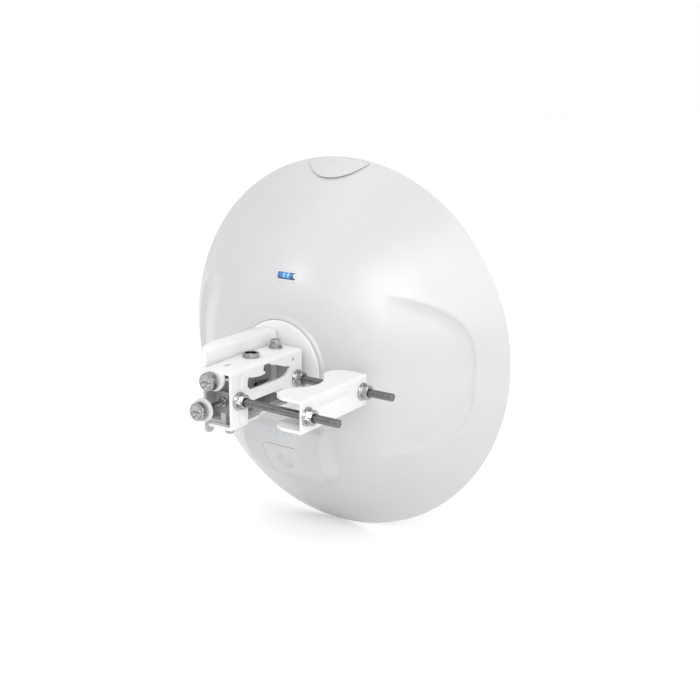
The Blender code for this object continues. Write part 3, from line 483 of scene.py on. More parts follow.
def scoop_arc(rise, slope, power):
    """Upper or lower half of the recess outline: a superellipse whose long side falls outwards."""
    arc = []
    for i in range(SCOOP_STEPS + 1):
        x = SCOOP_OUTER - (SCOOP_OUTER - SCOOP_INNER) * (1.0 - i / SCOOP_STEPS) ** 2
        along = (x - SCOOP_CENTRE_X) / (SCOOP_OUTER - SCOOP_CENTRE_X)
        arc.append((x, (rise - slope * (x - SCOOP_INNER)) * (1.0 - along ** power) ** (1.0 / power)))
    return arc


scoop_edge = [(x, SCOOP_MID_Z + height) for x, height in scoop_arc(89.3, 0.17, 3.2)]
scoop_edge += [(x, SCOOP_MID_Z - height) for x, height in scoop_arc(88.4, 0.10, 2.8)[-2::-1]]


def scoop(x, z):
    """Depth of the side recesses: a crisp lip, a rounded wall and a floor that fades inwards."""
    x = abs(x)
    if x < SCOOP_INNER or x > SCOOP_OUTER or abs(z - SCOOP_MID_Z) > 90.0:
        return 0.0
    best = 1e9
    inside = True
    for (ax, az), (bx, bz) in zip(scoop_edge, scoop_edge[1:]):
        dx, dz = bx - ax, bz - az
        t = min(max(((x - ax) * dx + (z - az) * dz) / (dx * dx + dz * dz), 0.0), 1.0)
        px, pz = ax + dx * t - x, az + dz * t - z
        near = px * px + pz * pz
        if near < best:
            best = near
            inside = dx * (z - az) - dz * (x - ax) < 0.0
    if not inside:
        return 0.0
    gap = math.sqrt(best)
    t = min(gap / SCOOP_WALL, 1.0)
    lip = min(gap / 0.9, 1.0)
    return SCOOP_DEPTH * (1.0 - (1.0 - t) ** 2.2) * lip * smooth((x - 98.0) / 46.0)


chin_curve = curve_through(((60.0, -110.0), (70.0, -112.0), (88.0, -112.0), (98.0, -108.2), (108.0, -103.0),
                            (119.0, -96.5), (131.5, -86.2)))


def chin(x, z, base):
    if z > -58.0 or z < -133.5:
        return base
    round_off = min(max((-z - 104.0) / 27.5, 0.0), 1.0)
    half = 54.0 - 16.0 * (1.0 - math.sqrt(1.0 - 0.98 * round_off ** 2))
    raised = chin_curve(-z)
    side = smooth((half + 5.0 - abs(x)) / 8.5)
    lip = smooth((z + 133.0) / 1.6)
    top = smooth((-58.0 - z) / 8.0)
    return base + min(raised - base, 0.0) * side * lip * top


HUB_RING = ((31.0, -110.7), (52.0, -110.7), (52.2, -112.9), (52.6, -113.2), (54.8, -113.1), (55.6, -112.8),
            (56.6, -111.7), (57.2, -111.0))


def shell_level(radius, x, z):
    if radius < 57.2:
        for (a, fa), (b, fb) in zip(HUB_RING, HUB_RING[1:]):
            if radius <= b + 1e-6:
                return fa + (fb - fa) * (radius - a) / (b - a)
    return chin(x, z, dome(radius) + scoop(x, z))


TURN_STEPS = 420
radii = [31.0, 40.0, 48.0, 52.0, 52.2, 52.6, 54.8, 55.2, 55.6, 56.1, 56.6, 57.2, 58.5]
while radii[-1] < 92.0:
    radii.append(radii[-1] + 2.6)
while radii[-1] < 196.0:
    radii.append(radii[-1] + 1.3)
while radii[-1] < RIM_R - 3.2:
    radii.append(radii[-1] + 2.0)
radii += [RIM_R - 0.9, RIM_R - 0.35, RIM_R]
verts = []
for radius in radii:
    for i in range(TURN_STEPS):
        turn = 2.0 * math.pi * i / TURN_STEPS
        x, z = radius * math.cos(turn), radius * math.sin(turn)
        level = shell_level(radius, x, z)
        verts.append((x * MM, level * MM, z * MM))
faces = []
for k in range(len(radii) - 1):
    for i in range(TURN_STEPS):
        n = (i + 1) % TURN_STEPS
        faces.append((k * TURN_STEPS + i, k * TURN_STEPS + n, (k + 1) * TURN_STEPS + n,
                      (k + 1) * TURN_STEPS + i))
shell_mesh = bpy.data.meshes.new("dish_shell")
shell_mesh.from_pydata(verts, [], faces)
form = bmesh.new()
form.from_mesh(shell_mesh)
bmesh.ops.recalc_face_normals(form, faces=form.faces)
sample = min(form.faces, key=lambda face: abs(face.calc_center_median().length - 0.14))
if sample.normal.y > 0.0:
    bmesh.ops.reverse_faces(form, faces=form.faces)
form.to_mesh(shell_mesh)
form.free()
shell = put(bpy.data.objects.new("dish_shell", shell_mesh), "Z", (DISH_X, RIM_Y, 0))
wall = shell.modifiers.new("wall", "SOLIDIFY")
wall.thickness = 2.8 * MM
wall.offset = -1.0
combine(shell, [], "DIFFERENCE")
for vert in shell.data.vertices:
    vert.co.y = min(vert.co.y, RIM_OVERLAP * MM)

DOOR_TOP = -88.0
DOOR_LOW = -130.5
DOOR_HALF = 26.7
DOOR_CORNER = 8.0
DOOR_GAP = 0.15
DOOR_MOUTH_LOW = -132.2
DOOR_SET_BACK = 0.4
CORNER_STEPS = 24
LED_HOLE_R = 1.35
LEVEL_HALF_LONG = 13.3
LEVEL_HALF_TALL = 5.3
LED_X = (-14.0, -5.0, 5.0, 14.0)
LED_Z = -74.0


def door_half(z, grow=0.0):
    """Half the width of the port cover at a height, with rounded top corners."""
    above = max(DOOR_CORNER - max(DOOR_TOP - z, 0.0), 0.0)
    return DOOR_HALF - DOOR_CORNER + math.sqrt(DOOR_CORNER ** 2 - above ** 2) + grow


heights = [DOOR_TOP - DOOR_CORNER * i / CORNER_STEPS for i in range(CORNER_STEPS + 1)]
side_edge = [(door_half(z, DOOR_GAP), z + DOOR_GAP) for z in heights]
side_edge.append((DOOR_HALF + DOOR_GAP, DOOR_MOUTH_LOW))
opening = [(DISH_X - x, z) for x, z in side_edge] + [(DISH_X + x, z) for x, z in side_edge[::-1]]
level_window = [(DISH_X + a * LEVEL_HALF_LONG, LEVEL_Z + b * LEVEL_HALF_TALL)
                for a, b in ((-1, -1), (1, -1), (1, 1), (-1, 1))]
cutters = [flat("c", swap(opening), "Y", (0, 78.0, 0), 52.0),
           flat("c", swap(rounded(level_window, 1.0)), "Y", (0, 81.0, 0), 22.0)]
for x in LED_X:
    cutters.append(flat("c", swap(circle(DISH_X + x, LED_Z, LED_HOLE_R, 20)), "Y", (0, 67.0, 0), 12.0))
combine(shell, cutters, "DIFFERENCE")
dress(shell, "dish", ("rear_shell",), "white_plastic", 24.0)


def loft(name, point, near, far, rows, columns, at):
    """A closed sheet between two levels over a plan region given by (u, v)."""
    mesh = bpy.data.meshes.new(name)
    work = bmesh.new()
    sheets = []
    for level in (near, far):
        grid = []
        for i in range(rows + 1):
            row = []
            for j in range(columns + 1):
                u, v = 2.0 * j / columns - 1.0, i / rows
                x, z = point(u, v)
                row.append(work.verts.new((x * MM, level(u, v, x, z) * MM, z * MM)))
            grid.append(row)
        sheets.append(grid)
        for i in range(rows):
            for j in range(columns):
                work.faces.new((grid[i][j], grid[i][j + 1], grid[i + 1][j + 1], grid[i + 1][j]))
    loops = []
    for grid in sheets:
        loop = grid[0][:-1] + [row[-1] for row in grid[:-1]]
        loop += grid[-1][:0:-1] + [row[0] for row in grid[:0:-1]]
        loops.append(loop)
    for k in range(len(loops[0])):
        n = (k + 1) % len(loops[0])
        work.faces.new((loops[0][k], loops[0][n], loops[1][n], loops[1][k]))
    bmesh.ops.recalc_face_normals(work, faces=work.faces)
    work.to_mesh(mesh)
    work.free()
    return put(bpy.data.objects.new(name, mesh), "Z", at)


# ---- port cover ----------------------------------------------------------
THUMB_Z = -108.5
THUMB_R = 9.8
THUMB_DEPTH = 2.6
COVER_EDGE = 0.7
COVER_TURN_IN = 0.25
COVER_THICK = 4.0


def cover_point(u, v):
    z = DOOR_TOP - DOOR_SET_BACK + (DOOR_LOW - DOOR_TOP + DOOR_SET_BACK) * v
    return door_half(z) * u, z


def cover_level(u, v, x, z):
    reach = math.hypot(x, (z - THUMB_Z) * 1.03) / THUMB_R
    dip = THUMB_DEPTH * (1.0 - reach ** 9) if reach < 1.0 else 0.0
    edge = min(door_half(z) - abs(x), DOOR_TOP - DOOR_SET_BACK - z, z - DOOR_LOW)
    turned_in = COVER_TURN_IN * (1.0 - min(max(edge, 0.0) / COVER_EDGE, 1.0)) ** 2
    return chin_curve(-z) + dip + turned_in


cover = loft("port_door", cover_point, cover_level, lambda u, v, x, z: chin_curve(-z) + COVER_THICK, 132, 108,
             (DISH_X, RIM_Y, 0))
dress(cover, "cover", ("port_cover",), "white_plastic", 40.0)

# ---- antenna cap ---------------------------------------------------------
CAP_HALF = 39.0
CAP_LOW = 194.0
CAP_R = 213.4
CAP_SINK = 0.6


def cap_point(u, v):
    x = CAP_HALF * u
    rim = math.sqrt(CAP_R ** 2 - x * x)
    lip = CAP_LOW + (math.sqrt(CAP_R ** 2 - CAP_HALF ** 2) - 1.2 - CAP_LOW) * abs(u) ** 2.2
    return x, lip + (rim - lip) * v


def cap_rise(u, v):
    full = 1.0 + 4.0 * (1.0 - abs(u) ** 2.4) * (0.45 + 0.55 * smooth(1.6 * v + 0.4)) * (1.0 - 0.35 * v)
    return full - 0.6 * (1.0 - min(v / 0.06, 1.0)) ** 2


cap = loft("cap_lens", cap_point, lambda u, v, x, z: dome(math.hypot(x, z)) - CAP_SINK,
           lambda u, v, x, z: dome(math.hypot(x, z)) - CAP_SINK - cap_rise(u, v), 40, 120,
           (DISH_X, RIM_Y, 0))
dress(cap, "dish", ("antenna_cap",), "white_plastic", 40.0)

# ---- level, light pipe and front cover -----------------------------------
vial = revolve("level_tube", [(0.0, 11.4), (1.6, 11.3), (2.6, 10.8), (3.2, 9.9), (3.4, 8.8), (3.4, -8.8),
                              (3.2, -9.9),
                              (2.6, -10.8), (1.6, -11.3), (0.0, -11.4)], "X",
               (DISH_X, LEVEL_Y + 3.0, LEVEL_Z), 48)
dress(vial, "dish", ("level_vial",), "vial", 50.0)
CRADLE_GAP = 0.15


def cradle_point(u, v):
    return (LEVEL_HALF_LONG - CRADLE_GAP) * u, LEVEL_Z + (LEVEL_HALF_TALL - CRADLE_GAP) * (1.0 - 2.0 * v)


cradle = loft("level_frame", cradle_point, lambda u, v, x, z: dome(math.hypot(x, z)) + 0.1,
              lambda u, v, x, z: LEVEL_Y + 8.0 - RIM_Y, 20, 40, (DISH_X, RIM_Y, 0))
pocket = rounded([(DISH_X - 11.8, LEVEL_Z - 3.6), (DISH_X + 11.8, LEVEL_Z - 3.6),
                  (DISH_X + 11.8, LEVEL_Z + 3.6),
                  (DISH_X - 11.8, LEVEL_Z + 3.6)], 1.2)
combine(cradle, [prism("c", swap(pocket), "Y", (0, 79.2, 0), 12.4)], "DIFFERENCE")
dress(cradle, "dish", ("level_cradle",), "white_trim", 40.0)
pipe = prism("status_lights", rounded([(DISH_X - 17.0, 72.2), (DISH_X + 17.0, 72.2), (DISH_X + 17.0, 75.2),
                                       (DISH_X - 17.0, 75.2)], 0.8), "Z", (0, 0, LED_Z), 4.0, 0.4)
pegs = [revolve("c", [(0.0, 67.05), (0.6, 67.1), (1.05, 67.35), (1.2, 67.8), (1.2, 73.0), (0.0, 73.0)], "Y",
                (DISH_X + x, 0, LED_Z), 24) for x in LED_X]
combine(pipe, pegs, "UNION")
dress(pipe, "dish", ("led_light_pipe",), "clear", 40.0)
radome = revolve("front_cover", [(0.0, 187.4), (60.0, 187.2), (100.0, 186.6), (150.0, 185.6), (180.0, 184.4),
                                 (200.0, 183.1), (202.0, 183.0), (202.6, 182.5), (203.4, 182.5),
                                 (204.0, 182.8),
                                 (209.0, 182.1), (211.6, 181.6), (213.1, 181.0), (213.6, 180.2),
                                 (213.6, 179.42),
                                 (205.0, 179.42), (200.0, 180.6), (100.0, 183.8), (0.0, 184.6)], "Y",
                 (DISH_X, 0, 0), 300)
dress(radome, "dish", ("front_radome",), "white_plastic", 30.0)

# ---- hub and arm ---------------------------------------------------------
HUB_Y = 64.0
hub = revolve("hub_disc", [(0.0, 76.0), (29.4, 76.0), (30.0, 75.4), (30.0, 68.0), (51.2, 68.0), (51.8, 67.4),
                           (51.8, 65.2), (51.6, 64.7), (51.2, 64.4), (50.6, 64.3), (0.0, 64.3)], "Y",
              (DISH_X, 0, 0), 240)
dress(hub, "dish", ("hub_plate",), "white_paint", 40.0)

arm_plan = [(-38.5, -49.0), (-41.5, -49.0), (-46.5, -45.5), (-53.0, -37.5), (-58.0, -28.0), (-60.5, -18.0),
            (-61.5, -6.0), (-61.5, HUB_Y - 0.9), (-38.5, HUB_Y - 0.9)]
arm_radii = {0: 1.0, 1: 2.5, 2: 7.0, 3: 7.0, 4: 7.0, 5: 7.0, 6: 7.0, 7: 0.0, 8: 0.0}
arm = prism("arm_casting", rounded(arm_plan, arm_radii), "Z", (0, 0, 8.25), 68.5, 3.2, top_only=True)
arm_inner = [(-41.5, -45.8), (-44.8, -43.0), (-50.4, -36.0), (-55.2, -26.6), (-57.5, -17.4), (-58.5, -6.0),
             (-58.5, HUB_Y - 3.0), (-41.5, HUB_Y - 3.0)]
hollow = prism("c", rounded(arm_inner, 2.0), "Z", (0, 0, 4.75), 69.5, 1.5)
under = prism("c", rounded([(-60.0, -6.0), (-48.0, -6.0), (-20.0, -16.0), (30.0, -23.0), (55.0, -40.0),
                            (-60.0, -40.0)], {1: 6.0, 2: 10.0, 3: 10.0}), "X", (-50.0, 0, 0), 40.0)
EL_LOCK_REACH = -37.0
ARC_STEPS = (-1.0, -0.5, 0.0, 0.5, 1.0)
el_arc = [(TILT_Y + EL_LOCK_REACH * math.cos(EL_SWING * t), TILT_Z + EL_LOCK_REACH * math.sin(EL_SWING * t))
          for t in ARC_STEPS]
arm_cuts = [hollow, under,
            prism("c", slot_outline(el_arc, 3.4), "X", (-40.0, 0, 0), 4.2),
            prism("c", slot_outline([(TILT_Y, -8.7), (TILT_Y, -6.3)], 2.35), "X", (-40.0, 0, 0), 4.2),
            prism("c", circle(TILT_Y, TILT_Z, STUD_HOLE_R), "X", (-40.0, 0, 0), 4.2),
            prism("c", slot_outline([(TILT_Y + EL_LOCK_REACH, TILT_Z), (TILT_Y, TILT_Z)], 13.0), "X",
                  (-60.0, 0, 0), 5.0)]
combine(arm, arm_cuts, "DIFFERENCE")
dress(arm, "dish", ("tilt_arm",), "white_paint", 30.0)

# ---- pole bracket --------------------------------------------------------


def outside(outline, axis, at, thick, reach=140.0):
    """Everything outside an outline, to trim a folded sheet to its shape."""
    frame_outline = [(-reach, -reach), (reach, -reach), (reach, reach), (-reach, reach)]
    return flat("c", frame_outline, axis, at, thick, holes=(outline,))


section = rounded([(0.0, LOW_Z), (0.0, TOP_Z), (-40.0, TOP_Z), (-40.0, TOP_Z - 3.0), (-3.0, TOP_Z - 3.0),
                   (-3.0, LOW_Z + 3.0), (-40.0, LOW_Z + 3.0), (-40.0, LOW_Z)],
                  {0: 2.6, 1: 2.6, 4: 1.0, 5: 1.0}, 6)
bracket = prism("bracket_fold", swap(section), "Y", (0, -1.0, 0), 112.0)
lock_angle = math.atan2(LOCK_Y, LOCK_X - PIVOT_X)
lock_radius = math.hypot(LOCK_Y, LOCK_X - PIVOT_X)
lock_arc = [(PIVOT_X + lock_radius * math.cos(lock_angle + AZ_SWING * t),
             lock_radius * math.sin(lock_angle + AZ_SWING * t)) for t in ARC_STEPS]
top_shape = rounded([(5.0, -60.0), (5.0, 60.0), (-3.0, 55.0), (-24.6, 55.0), (-33.5, 44.0), (-36.6, 13.0),
                     (-36.6, -10.0), (-32.8, -50.0), (-32.8, -60.0)], {3: 4.0, 4: 8.0, 5: 12.0, 6: 12.0})
low_shape = rounded([(5.0, -60.0), (5.0, -33.4), (-1.0, -33.4), (-3.0, -31.0), (-0.8, -26.0), (-0.4, -21.0),
                     (-0.8, -16.0),
                     (-3.5, -11.0), (-8.0, -5.0), (-10.0, 4.0), (-9.0, 16.0), (-5.0, 28.0), (-1.0, 33.4),
                     (5.0, 33.4),
                     (5.0, 60.0), (-3.0, 55.0), (-24.6, 55.0), (-33.0, 44.0), (-36.6, 13.0), (-36.6, -34.0),
                     (-30.4, -38.5), (-29.2, -60.0)], 3.0)
web_window = rounded([(-33.0, 10.5), (-30.0, 7.8), (-26.0, 6.3), (20.0, 6.3), (26.0, 7.2), (32.0, 10.0),
                      (35.5, 13.5),
                      (34.0, 15.8), (26.0, 17.0), (18.0, 20.0), (8.0, 23.0), (3.2, 24.2), (2.0, 26.2),
                      (-7.5, 26.2),
                      (-9.0, 20.0), (-5.5, 19.6), (-5.2, 17.4), (-14.0, 16.6), (-24.0, 17.6), (-31.5, 19.6),
                      (-33.0, 16.0)], 1.6)
low_window = rounded([(33.0, -40.0), (33.0, -9.5), (20.0, -5.0), (-26.0, -5.0), (-33.0, -9.5),
                      (-33.0, -40.0)],
                     {1: 5.0, 2: 7.0, 3: 5.0, 4: 5.0})
web_mid = -0.5 * SHEET
trims = [
    outside(top_shape, "Z", (0, 0, TOP_Z - 1.0), 6.0),
    outside(low_shape, "Z", (0, 0, LOW_Z + 1.0), 6.0),
    prism("c", web_window, "X", (web_mid, 0, 0), 5.0),
    prism("c", low_window, "X", (web_mid - 0.5, 0, 0), 6.0),
    prism("c", circle(40.0, 21.5, 1.8), "X", (web_mid, 0, 0), 6.0),
    prism("c", circle(-STUD_Y, 0.0, STUD_HOLE_R), "X", (web_mid, 0, 0), 6.0),
    prism("c", circle(STUD_Y, 0.0, STUD_HOLE_R), "X", (web_mid, 0, 0), 6.0),
    prism("c", circle(PIVOT_X, 0.0, PIVOT_HOLE_R), "Z", (0, 0, 0), 90.0),
    prism("c", slot_outline(lock_arc, 3.4), "Z", (0, 0, TOP_Z), 12.0),
    prism("c", slot_outline([(-22.0, -39.84), (-22.0, -32.16)], 1.6), "Z", (0, 0, TOP_Z), 12.0),
    prism("c", circle(EARTH_X, EARTH_Y, 2.8), "Z", (0, 0, LOW_Z), 12.0),
]
for level in (18.0, -18.0):
    trims.append(press_mark("c", [(-43.0, level - 3.0), (-43.0, level + 3.0)], 3.5, 0.55))
combine(bracket, trims, "DIFFERENCE")
tab_section = rounded([(-54.0, 29.45), (-58.0, 29.45), (-58.0, 5.0), (-55.0, 5.0), (-55.0, 26.45),
                       (-54.0, 26.45)],
                      {1: 2.6, 4: 0.8}, 6)
tab = prism("c", tab_section, "X", (-21.75, 0, 0), 25.3)
tab_shape = [(-34.4, 40.0), (-34.4, 21.35)]
tab_shape += [(-21.75 - 12.65 * math.cos(math.pi * i / 32), 21.35 - 12.65 * math.sin(math.pi * i / 32))
              for i in range(1, 32)]
tab_shape += [(-9.1, 21.35), (-9.1, 40.0)]
combine(tab, [outside(swap(tab_shape), "Y", (0, -54.0, 0), 14.0),
              prism("c", circle(19.4, -22.0, 2.8), "Y", (0, -56.5, 0), 6.0)], "DIFFERENCE")
combine(bracket, [tab], "UNION")
dress(bracket, "pole_mount", ("pole_bracket",), "white_paint", 30.0)

# ---- pole clamp ----------------------------------------------------------
clamp_section = rounded([(CLAMP_X, -16.0), (CLAMP_X, 16.0), (38.0, 16.0), (38.0, 13.0), (CLAMP_X - 3.0, 13.0),
                         (CLAMP_X - 3.0, -13.0), (38.0, -13.0), (38.0, -16.0)],
                        {0: 2.4, 1: 2.4, 4: 0.8, 5: 0.8}, 6)
clamp = prism("clamp_fold", swap(clamp_section), "Y", (0, 0, 0), 108.0)
half_jaw = [(90.0, 60.0), (74.0, 54.0), (56.0, 54.0), (48.0, 50.0), (43.5, 44.0), (42.5, 37.0),
            (43.5, 32.0), (47.0, 27.0), (53.0, 18.0), (58.0, 10.0)]
jaw = [(x, -y) for x, y in half_jaw] + [(60.0, 0.0)] + half_jaw[::-1]
jaw_shape = rounded(jaw, 7.0)
clamp_trims = [outside(jaw_shape, "Z", (0, 0, 14.5), 6.0), outside(jaw_shape, "Z", (0, 0, -14.5), 6.0),
               prism("c", circle(-STUD_Y, 0.0, STUD_HOLE_R), "X", (CLAMP_X + web_mid, 0, 0), 6.0),
               prism("c", circle(STUD_Y, 0.0, STUD_HOLE_R), "X", (CLAMP_X + web_mid, 0, 0), 6.0),
               prism("c", slot_outline([(-26.0, 6.0), (20.0, 6.0)], 1.6), "X", (CLAMP_X + 0.4, 0, 0), 2.0)]
combine(clamp, clamp_trims, "DIFFERENCE")
dress(clamp, "clamp", ("clamp_plate",), "white_paint", 30.0)

# ---- fasteners -----------------------------------------------------------
def flange_nut(name, seat_x, y, body, node_name):
    """A serrated-flange nut with chamfered corners and a thread mouth."""
    profile = [(3.9, 0.2), (5.0, 0.0), (8.9, 0.0), (8.9, 0.8), (8.6, 1.3), (7.5, 2.0), (7.5, 2.2),
               (7.51, 2.2, "h"),
               (7.6, 2.3, "h"), (7.6, 7.4, "h"), (6.6, 8.4, "h"), (5.0, 8.4), (4.7, 8.4), (3.9, 7.7)]
    nut = revolve(name, profile, "X", (seat_x, y, 0), 96, flats=13.0)
    return dress(nut, body, (node_name,), "steel", 28.0)


def threaded(name, radius, pitch, low, high, axis, at, head=(), around=28, depth=0.5):
    """A rod with a rolled thread between two heights, and turned ends."""
    mesh = bpy.data.meshes.new(name)
    verts, faces = [], []
    rows = int(round((high - low) / pitch * 6))
    for k in range(rows + 1):
        height = low + (high - low) * k / rows
        taper = min((height - low) / pitch, (high - height) / pitch, 1.0)
        for i in range(around):
            turn = i / around
            phase = (height / pitch - turn) % 1.0
            r = radius - depth * abs(2.0 * phase - 1.0) * max(taper, 0.0)
            if taper < 1.0:
                r -= 0.5 * depth * (1.0 - max(taper, 0.0))
            angle = 2.0 * math.pi * turn
            verts.append((r * math.cos(angle) * MM, r * math.sin(angle) * MM, height * MM))
    for k in range(rows):
        for i in range(around):
            n = (i + 1) % around
            faces.append((k * around + i, k * around + n, (k + 1) * around + n, (k + 1) * around + i))
    faces.append(tuple(range(around))[::-1])
    faces.append(tuple(rows * around + i for i in range(around)))
    mesh.from_pydata(verts, [], faces)
    rod = put(bpy.data.objects.new(name, mesh), axis, at)
    return merge(rod, list(head))


def merge(base, others):
    """Joins meshes into one without a Boolean."""
    form = bmesh.new()
    form.from_mesh(base.data)
    inverse = base.matrix_world.inverted()
    for other in others:
        piece = bmesh.new()
        piece.from_mesh(other.data)
        piece.transform(inverse @ other.matrix_world)
        scratch = bpy.data.meshes.new("scratch")
        piece.to_mesh(scratch)
        piece.free()
        form.from_mesh(scratch)
        bpy.data.meshes.remove(scratch)
        bpy.data.objects.remove(other, do_unlink=True)
    form.to_mesh(base.data)
    form.free()
    return base


def hex_head(name, flats, low, high, axis, at):
    """A hexagon head with chamfered corners, from its seat to its face."""
    corner = flats / math.sqrt(3.0)
    lift = 0.12 * flats if high > low else -0.12 * flats
    profile = [(0.0, low), (corner - 0.2, low, "h"), (corner, low + 0.2 * lift, "h"),
               (corner, high - lift, "h"),
               (0.5 * flats - 0.2, high, "h"), (0.5 * flats - 1.0, high), (0.0, high)]
    return revolve(name, profile, axis, at, 96, flats=flats)


for side, y in (("near", -STUD_Y), ("far", STUD_Y)):
    head = hex_head("c", 13.0, -3.3, -8.6, "X", (0, y, 0))
    stud = threaded("stud_" + side, 4.0, 1.25, -3.6, 114.5, "X", (0, y, 0), [head], 32, 0.18)
    dress(stud, "pole_mount", ("clamp_stud_" + side,), "screw_steel", 60.0)
    flange_nut("inner_nut_" + side, 0.3, y, "pole_mount", "bracket_nut_" + side)
    flange_nut("outer_nut_" + side, CLAMP_X + 0.3, y, "clamp", "clamp_nut_" + side)

upper = revolve("upper_bush", [(6.4, 33.6), (6.7, 33.9), (7.9, 33.9), (8.4, 33.7), (8.5, 33.3), (8.5, 29.8),
                               (6.5, 29.8),
                               (6.5, 22.9), (8.0, 22.9), (8.0, 21.2), (5.0, 21.2), (5.0, 31.0), (6.4, 31.0)],
                "Z", (PIVOT_X, 0, 0), 96)
dress(upper, "pole_mount", ("pivot_bush_upper",), "steel", 30.0)
lower = revolve("lower_bush", [(5.0, -19.6), (8.0, -19.6), (8.0, -21.4), (6.5, -21.4), (6.5, -28.3),
                               (8.5, -28.3),
                               (8.5, -30.7), (8.0, -31.2), (5.0, -31.2)], "Z", (PIVOT_X, 0, 0), 96)
dress(lower, "pole_mount", ("pivot_bush_lower",), "steel", 30.0)
earth_at = (EARTH_X, EARTH_Y, 0)
ground = threaded("earth_screw", 2.5, 0.8, -30.4, -25.2, "Z", earth_at,
                  [hex_head("c", 8.0, -30.2, -33.6, "Z", earth_at)], 24, 0.35)
dress(ground, "pole_mount", ("ground_screw",), "steel", 40.0)

# ---- carrier -------------------------------------------------------------
side_outline = rounded([(-53.0, 26.2), (49.0, 26.2), (49.0, -24.7), (-42.0, -24.7), (-42.0, -34.5),
                        (-43.5, -37.0),
                        (-46.0, -38.0), (-49.5, -38.0), (-52.0, -36.8), (-53.0, -34.5)], 1.6)
carrier = prism("carrier_plate", side_outline, "X", (-36.7, 0, 0), 3.0, 0.25)
cam = []
for k in range(-3, 4):
    turn = AZ_SWING * k / 3.0
    du, dv = -22.0 - PIVOT_X, -36.0 + 40.0 * turn
    cam.append((PIVOT_X + du * math.cos(-turn) - dv * math.sin(-turn),
                du * math.sin(-turn) + dv * math.cos(-turn)))
carrier_adds = [
    prism("c", rounded([(-37.5, -50.0), (-11.0, -50.0), (-11.0, 49.0), (-37.5, 49.0)], {1: 3.0, 2: 6.0}), "Z",
          (0, 0, 24.7), 2.95),
    prism("c", rounded([(-37.5, -51.5), (-13.0, -51.5), (-13.0, 49.0), (-37.5, 49.0)], {1: 1.0, 2: 6.0}), "Z",
          (0, 0, -23.2), 2.95),
    prism("c", swap(rounded([(-36.0, -23.0), (-17.0, -23.0), (-17.0, 3.0), (-36.0, 3.0)], {2: 4.0})), "Y",
          (0, -37.5, 0), 3.0),
    prism("c", swap(rounded([(-18.5, -23.0), (-13.0, -23.0), (-13.0, -13.5), (-18.5, -13.5)],
                            {2: 1.2, 3: 1.2})), "Y",
          (0, -50.2, 0), 2.6)]
combine(carrier, carrier_adds, "UNION")
combine(carrier, [
    prism("c", circle(TILT_Y, TILT_Z, STUD_HOLE_R), "X", (-36.7, 0, 0), 5.0),
    prism("c", circle(TILT_Y + EL_LOCK_REACH, TILT_Z, LOCK_HOLE_R), "X", (-36.7, 0, 0), 5.0),
    prism("c", slot_outline([(22.6, -7.5), (27.4, -7.5)], 2.4), "X", (-36.7, 0, 0), 5.0),
    prism("c", circle(PIVOT_X, 0.0, PIVOT_HOLE_R), "Z", (0, 0, 0), 70.0),
    prism("c", slot_outline(cam, 1.6), "Z", (0, 0, 24.7), 6.0),
    prism("c", circle(LOCK_X, LOCK_Y, LOCK_HOLE_R), "Z", (0, 0, 24.7), 6.0),
    prism("c", circle(EL_KNOB[2], EL_KNOB[0], LOCK_HOLE_R), "Y", (0, -37.5, 0), 5.0)], "DIFFERENCE")
# The carrier's darker grey is painted shade for the inside of the bracket.
dress(carrier, "carrier", ("azimuth_carrier",), "carrier_painted_shade", 30.0)

lock_at = (LOCK_X, LOCK_Y, 0)
lock_head = revolve("c", [(0.0, 31.9), (6.0, 31.9), (6.0, 32.6), (5.6, 33.0), (5.2, 33.1), (5.77, 33.1, "h"),
                          (5.77, 37.6, "h"), (4.9, 38.4, "h"), (4.1, 38.4), (3.3, 37.5), (0.0, 37.4)], "Z",
                    lock_at, 96,
                    flats=10.0)
lock = threaded("azimuth_lock", 3.0, 1.0, 14.0, 32.0, "Z", lock_at, [lock_head], 28, 0.4)
dress(lock, "carrier", ("azimuth_lock_bolt",), "steel", 30.0)
washer = revolve("lock_washer", [(3.3, 31.6), (6.7, 31.6), (7.0, 31.3), (7.0, 29.8), (3.3, 29.8)], "Z",
                 lock_at, 80)
dress(washer, "carrier", ("azimuth_lock_washer",), "steel", 30.0)
for kind, y, radius, pitch, flats, tip, seat, top in (("pivot", TILT_Y, 4.0, 1.25, 13.0, -53.0, -34.9, -29.9),
                                                     ("lock", TILT_Y + EL_LOCK_REACH, 3.0, 1.0, 10.0, -50.0,
                                                      -34.9, -30.9)):
    at = (0, y, TILT_Z)
    bolt = threaded("elevation_%s_screw" % kind, radius, pitch, tip, -34.6, "X", at,
                    [hex_head("c", flats, seat, top, "X", at)], 28, 0.4)
    dress(bolt, "carrier", ("elevation_%s_bolt" % kind,), "steel", 40.0)

# ---- adjusters -----------------------------------------------------------
def knurled(name, bore, body, node_name):
    """A knurled head with a dished face and a driver slot, in its CAD node's place."""
    x, z = centre(node_name)[0], centre(node_name)[2]
    face_y = corners(node_name)[0][1]
    length = round(corners(node_name)[1][1] - face_y, 2)
    profile = [(0.0, 1.1), (5.4, 1.1), (6.2, 0.25), (7.0, 0.0), (7.9, 0.0), (8.6, 0.4), (9.0, 1.2),
               (9.0, 1.4, "k"), (9.0, length - 2.1, "k"), (9.0, length - 1.9), (8.1, length - 0.8),
               (4.2, length - 0.8), (4.2, length), (bore, length), (bore, length - 3.9), (0.0, length - 3.9)]
    head = revolve(name, profile, "Y", (x, face_y, z), 180, ripple=36, depth=0.45)
    slot_cut = block("c", (x - 5.0, face_y - 1.0, z - 0.75), (x + 5.0, face_y + 2.2, z + 0.75))
    combine(head, [slot_cut], "DIFFERENCE")
    return dress(head, body, (node_name,), "turned_steel", 30.0)


